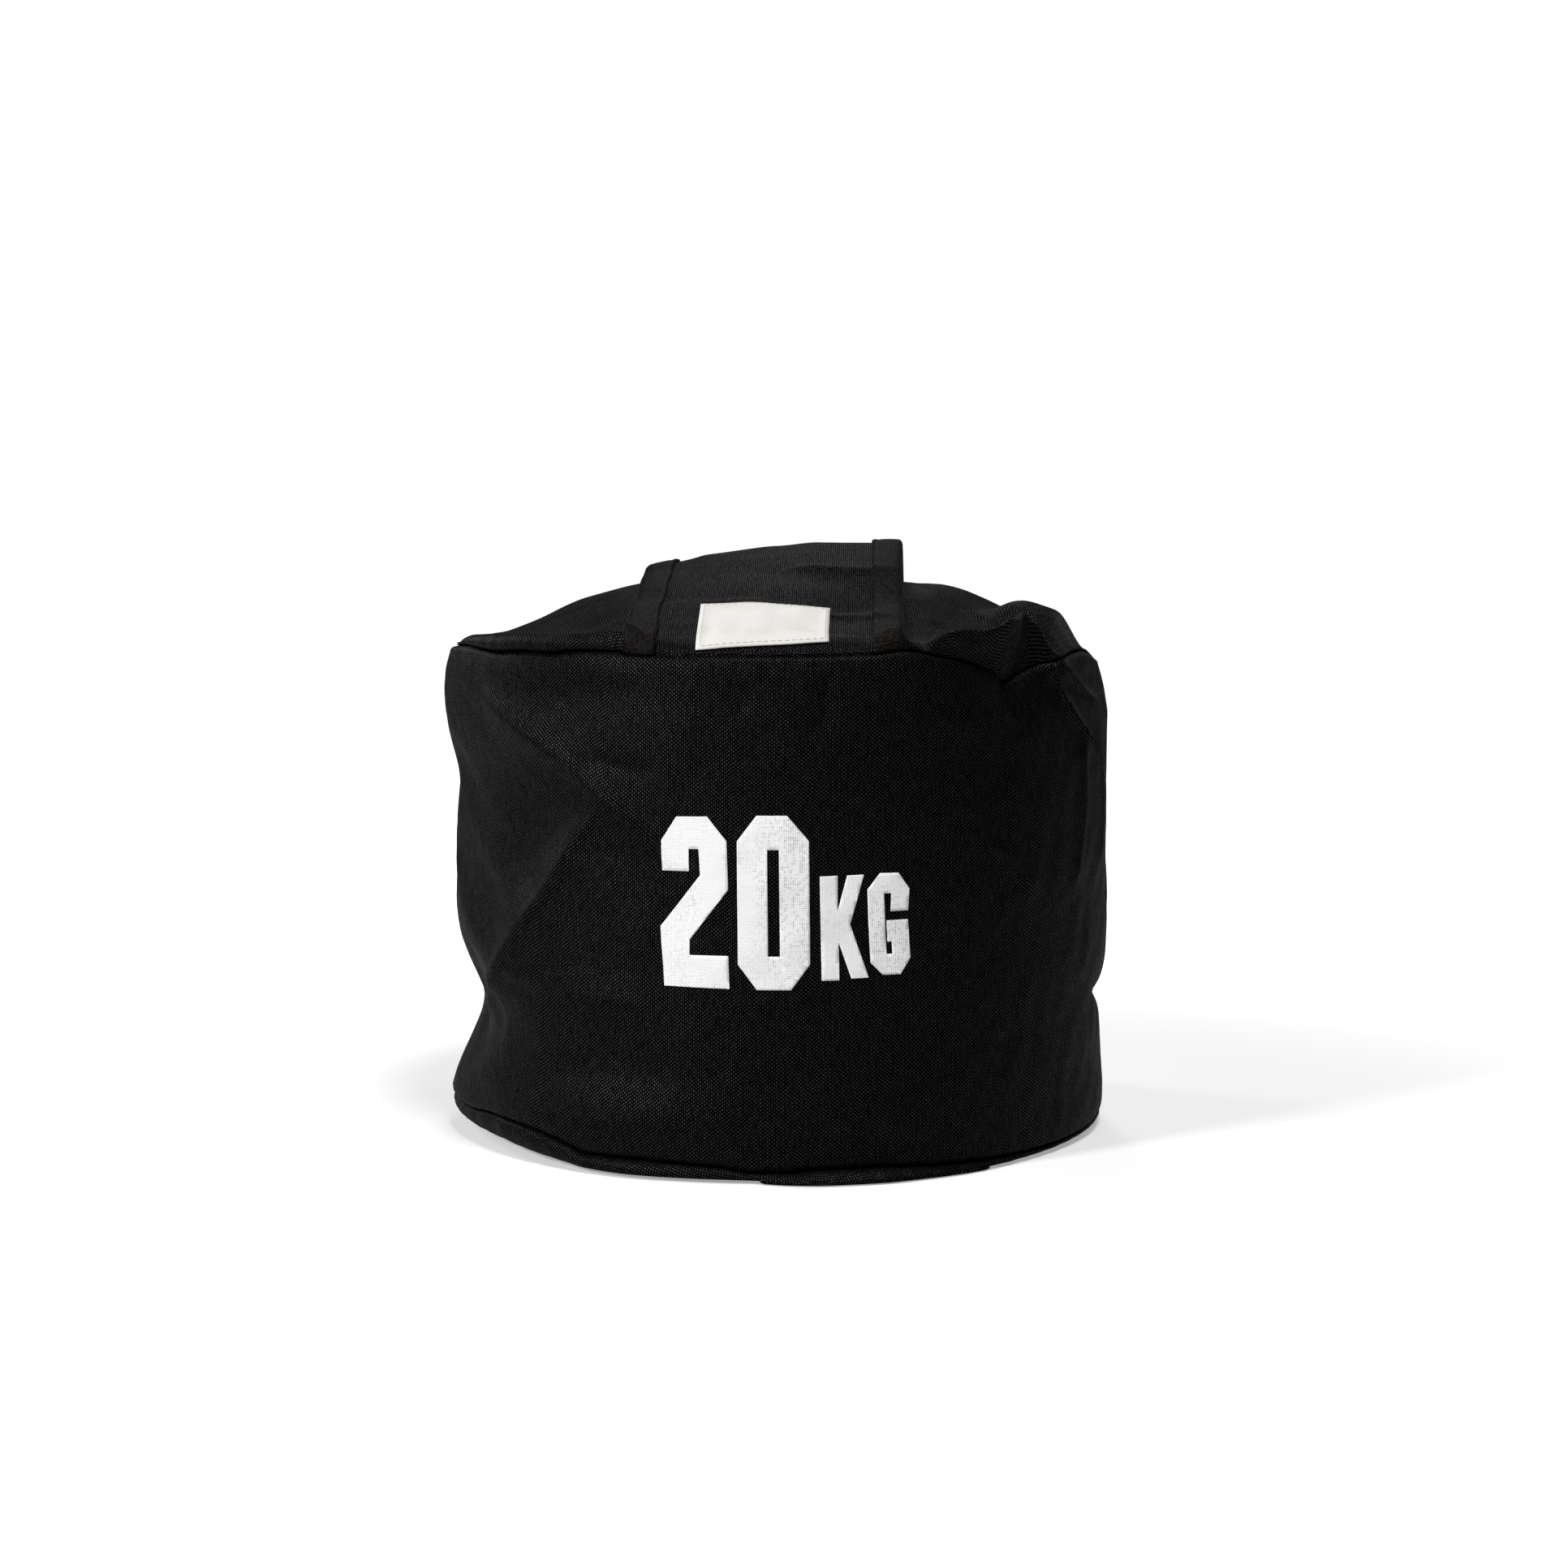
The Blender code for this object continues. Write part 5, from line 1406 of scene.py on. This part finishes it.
def strips(materials):
    """Hook tape under the flap's free end, and the loop tape under it on the top panel."""

    def under_flap(x, y, lift):
        return over_flap(x, (y - HINGE_Y) / FLAP_LENGTH, -FLAP_CLOTH - HOOK_TAPE_GAP - lift)

    def on_top(x, y, lift):
        return stacked(x, y, ground(x, y) + LOOP_TAPE_LIFT + lift)

    pile = materials["pile"]
    hook = tape("flap_hook_tape", under_flap, pile, False)
    loop = tape("top_loop_tape", on_top, pile, True)
    inset_x, inset_y = PILE_INSETS
    reach = STRIP_LENGTH / 2 - inset_x
    x, y = np.meshgrid(np.linspace(-reach, reach, 34),
                       np.linspace(STRIP_START + inset_y, STRIP_END - inset_y, 9))
    x, y = x.ravel(), y.ravel()
    x = x + np.random.default_rng(52).uniform(-0.3, 0.3, len(x)) * MM
    down = -flap_normal(x, (y - HINGE_Y) / FLAP_LENGTH)
    hooks = bristles("flap_hooks", under_flap(x, y, HOOK_START), down, pile, HOOK_LENGTH, 0.8)
    up = np.tile((0.0, 0.0, 1.0), (len(x), 1))
    loops = bristles("top_loops", on_top(x, y, LOOP_START), up, pile, LOOP_LENGTH, 1.3)
    return hook, loop, hooks, loops


# Stage


def stage():
    """A pale floor, which the camera sees as white where it runs out from under the bag."""
    recipe = plain("pale_floor", 0.9, 0.1)
    recipe.put(recipe.shader, {"Base Color": (0.65, 0.65, 0.65)})
    place = recipe.node("TexCoord", {}, "Object")
    length = recipe.node("VectorMath", {0: place}, "Value", operation="LENGTH")
    far = recipe.ranged(length, 0.24, 0.85, 0.34, 1.0, way="SMOOTHSTEP")
    seen = recipe.node("LightPath", {}, "Is Camera Ray")
    glow = recipe.node("Emission", {"Strength": recipe.times(far, seen)})
    recipe.show(recipe.node("AddShader", {0: recipe.shader.outputs[0], 1: glow}))
    mesh = bpy.data.meshes.new("floor")
    shaped = bmesh.new()
    bmesh.ops.create_circle(shaped, cap_ends=True, segments=96, radius=6.0)
    shaped.to_mesh(mesh)
    shaped.free()
    mesh.materials.append(recipe.owner)
    floor = linked("floor", mesh)
    floor.location.z = -0.3 * MM


def surround():
    """Plain light from all round, which the camera sees as white."""
    world = bpy.data.worlds.new("studio")
    bpy.context.scene.world = world
    recipe = Recipe(world)
    dim = recipe.node("Background", {"Color": (1.0, 1.0, 1.0), "Strength": 0.04})
    white = recipe.node("Background", {"Color": (1.0, 1.0, 1.0), "Strength": 1.0})
    seen = [recipe.node("LightPath", {}, ray) for ray in ("Is Camera Ray", "Is Transmission Ray")]
    both = recipe.math("MAXIMUM", *seen)
    recipe.show(recipe.node("MixShader", {0: both, 1: dim, 2: white}))


def soft_light(name, place, aim_height, size, power):
    """A round soft lamp, aimed at this height on the bag's axis."""
    data = bpy.data.lights.new(name, "AREA")
    data.shape = "DISK"
    data.size = size
    data.energy = power
    light = linked(name, data)
    light.location = place
    aim = Vector((0, 0, aim_height)) - Vector(place)
    light.rotation_euler = aim.to_track_quat("-Z", "Y").to_euler()


def photograph_camera():
    data = bpy.data.cameras.new("camera")
    data.sensor_width = SENSOR_WIDTH
    data.lens = FOCAL_PIXELS / PHOTO_WIDTH * SENSOR_WIDTH
    data.clip_start = 0.05
    data.clip_end = 50.0
    camera = linked("camera", data)
    camera.location = CAMERA_PLACE
    camera.rotation_euler = (math.radians(90 - CAMERA_PITCH), 0, 0)
    bpy.context.scene.camera = camera


# Scene


def dress_hidden_nodes(materials):
    """Better materials for the CAD pieces that stay, inside the bag."""
    finishes = {"liner_tie": "tie", "neck_hook_strip": "pile", "neck_loop_strip": "pile"}
    for node, finish in finishes.items():
        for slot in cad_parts[node].material_slots:
            slot.material = materials[finish]


def settle(piece, nodes=(), bend=None):
    """Hides the CAD nodes that a piece stands for, and hands the piece to the shell, except where a
    bend is given: then its place is only baked into its mesh."""
    if bend is None:
        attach(piece, "shell")
    else:
        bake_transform(piece)
    if nodes:
        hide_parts(*nodes)
    return piece


def place_drum(materials):
    wall = settle(wall_cloth(materials), ["side_wall"])
    top = settle(top_cloth(materials), ["top_panel"])
    base = settle(base_cloth(materials), ["bottom_panel"])
    mark = settle(weight_mark(materials))
    place_filling(materials)


def place_filling(materials):
    azimuth = all_round(hidden=True)
    low, high = base_seam(azimuth) + CURL, top_seam(azimuth) - CURL
    low_edge, high_edge = wall_radius(azimuth, low), wall_radius(azimuth, high)
    low_tape = seam_tape("bottom_tape_cloth", low_edge, low + TUCK, 1, materials)
    high_tape = seam_tape("top_tape_cloth", high_edge, high - TUCK, -1, materials)
    settle(low_tape, ["bottom_seam_tape"])
    settle(high_tape, ["top_seam_tape"])
    settle(back_tape(materials), ["back_seam_tape"])
    settle(liner_film(materials), ["liner_bag"])
    settle(sand_heap(materials), ["sand_fill"])


def place_flap(materials):
    bend = ("flap", (0, HINGE_Y - 1 * MM, HINGE_Z), (0, HINGE_Y + 9 * MM, HINGE_Z + 4 * MM))
    flap = settle(flap_cloth(materials), ["closure_flap", "flap_root"], bend)
    left = side_binding("flap_binding_left_cloth", -1, materials)
    right = side_binding("flap_binding_right_cloth", 1, materials)
    end = end_binding(materials)
    settle(left, ["flap_binding_left"], bend)
    settle(right, ["flap_binding_right"], bend)
    settle(end, ["flap_binding_end"], bend)
    label = settle(label_cloth(materials), ["label"], bend)
    rows = settle(flap_stitching(materials), bend=bend)
    label_rows = settle(label_stitching(materials), bend=bend)
    hook, loop, hooks, loops = strips(materials)
    settle(hook, ["flap_hook_strip"], bend)
    settle(loop, ["top_loop_strip"])
    settle(hooks, bend=bend)
    settle(loops)


def place_neck(materials):
    bend = ("neck", (NECK_X, NECK_ROOT_Y, NECK_FLAT_Z), (NECK_X, NECK_ROOT_Y + 7 * MM, NECK_FLAT_Z))
    sleeve = settle(sleeve_cloth(materials), ["fill_neck"], bend)
    rows = settle(sleeve_stitching(materials), bend=bend)
    settle(welt_cloth(materials), ["neck_welt"])


def main():
    bpy.context.scene.view_settings.view_transform = "Standard"
    materials = make_materials()
    dress_hidden_nodes(materials)
    place_drum(materials)
    place_flap(materials)
    place_neck(materials)
    stage()
    surround()
    for lamp in LAMPS:
        soft_light(*lamp)
    photograph_camera()


main()
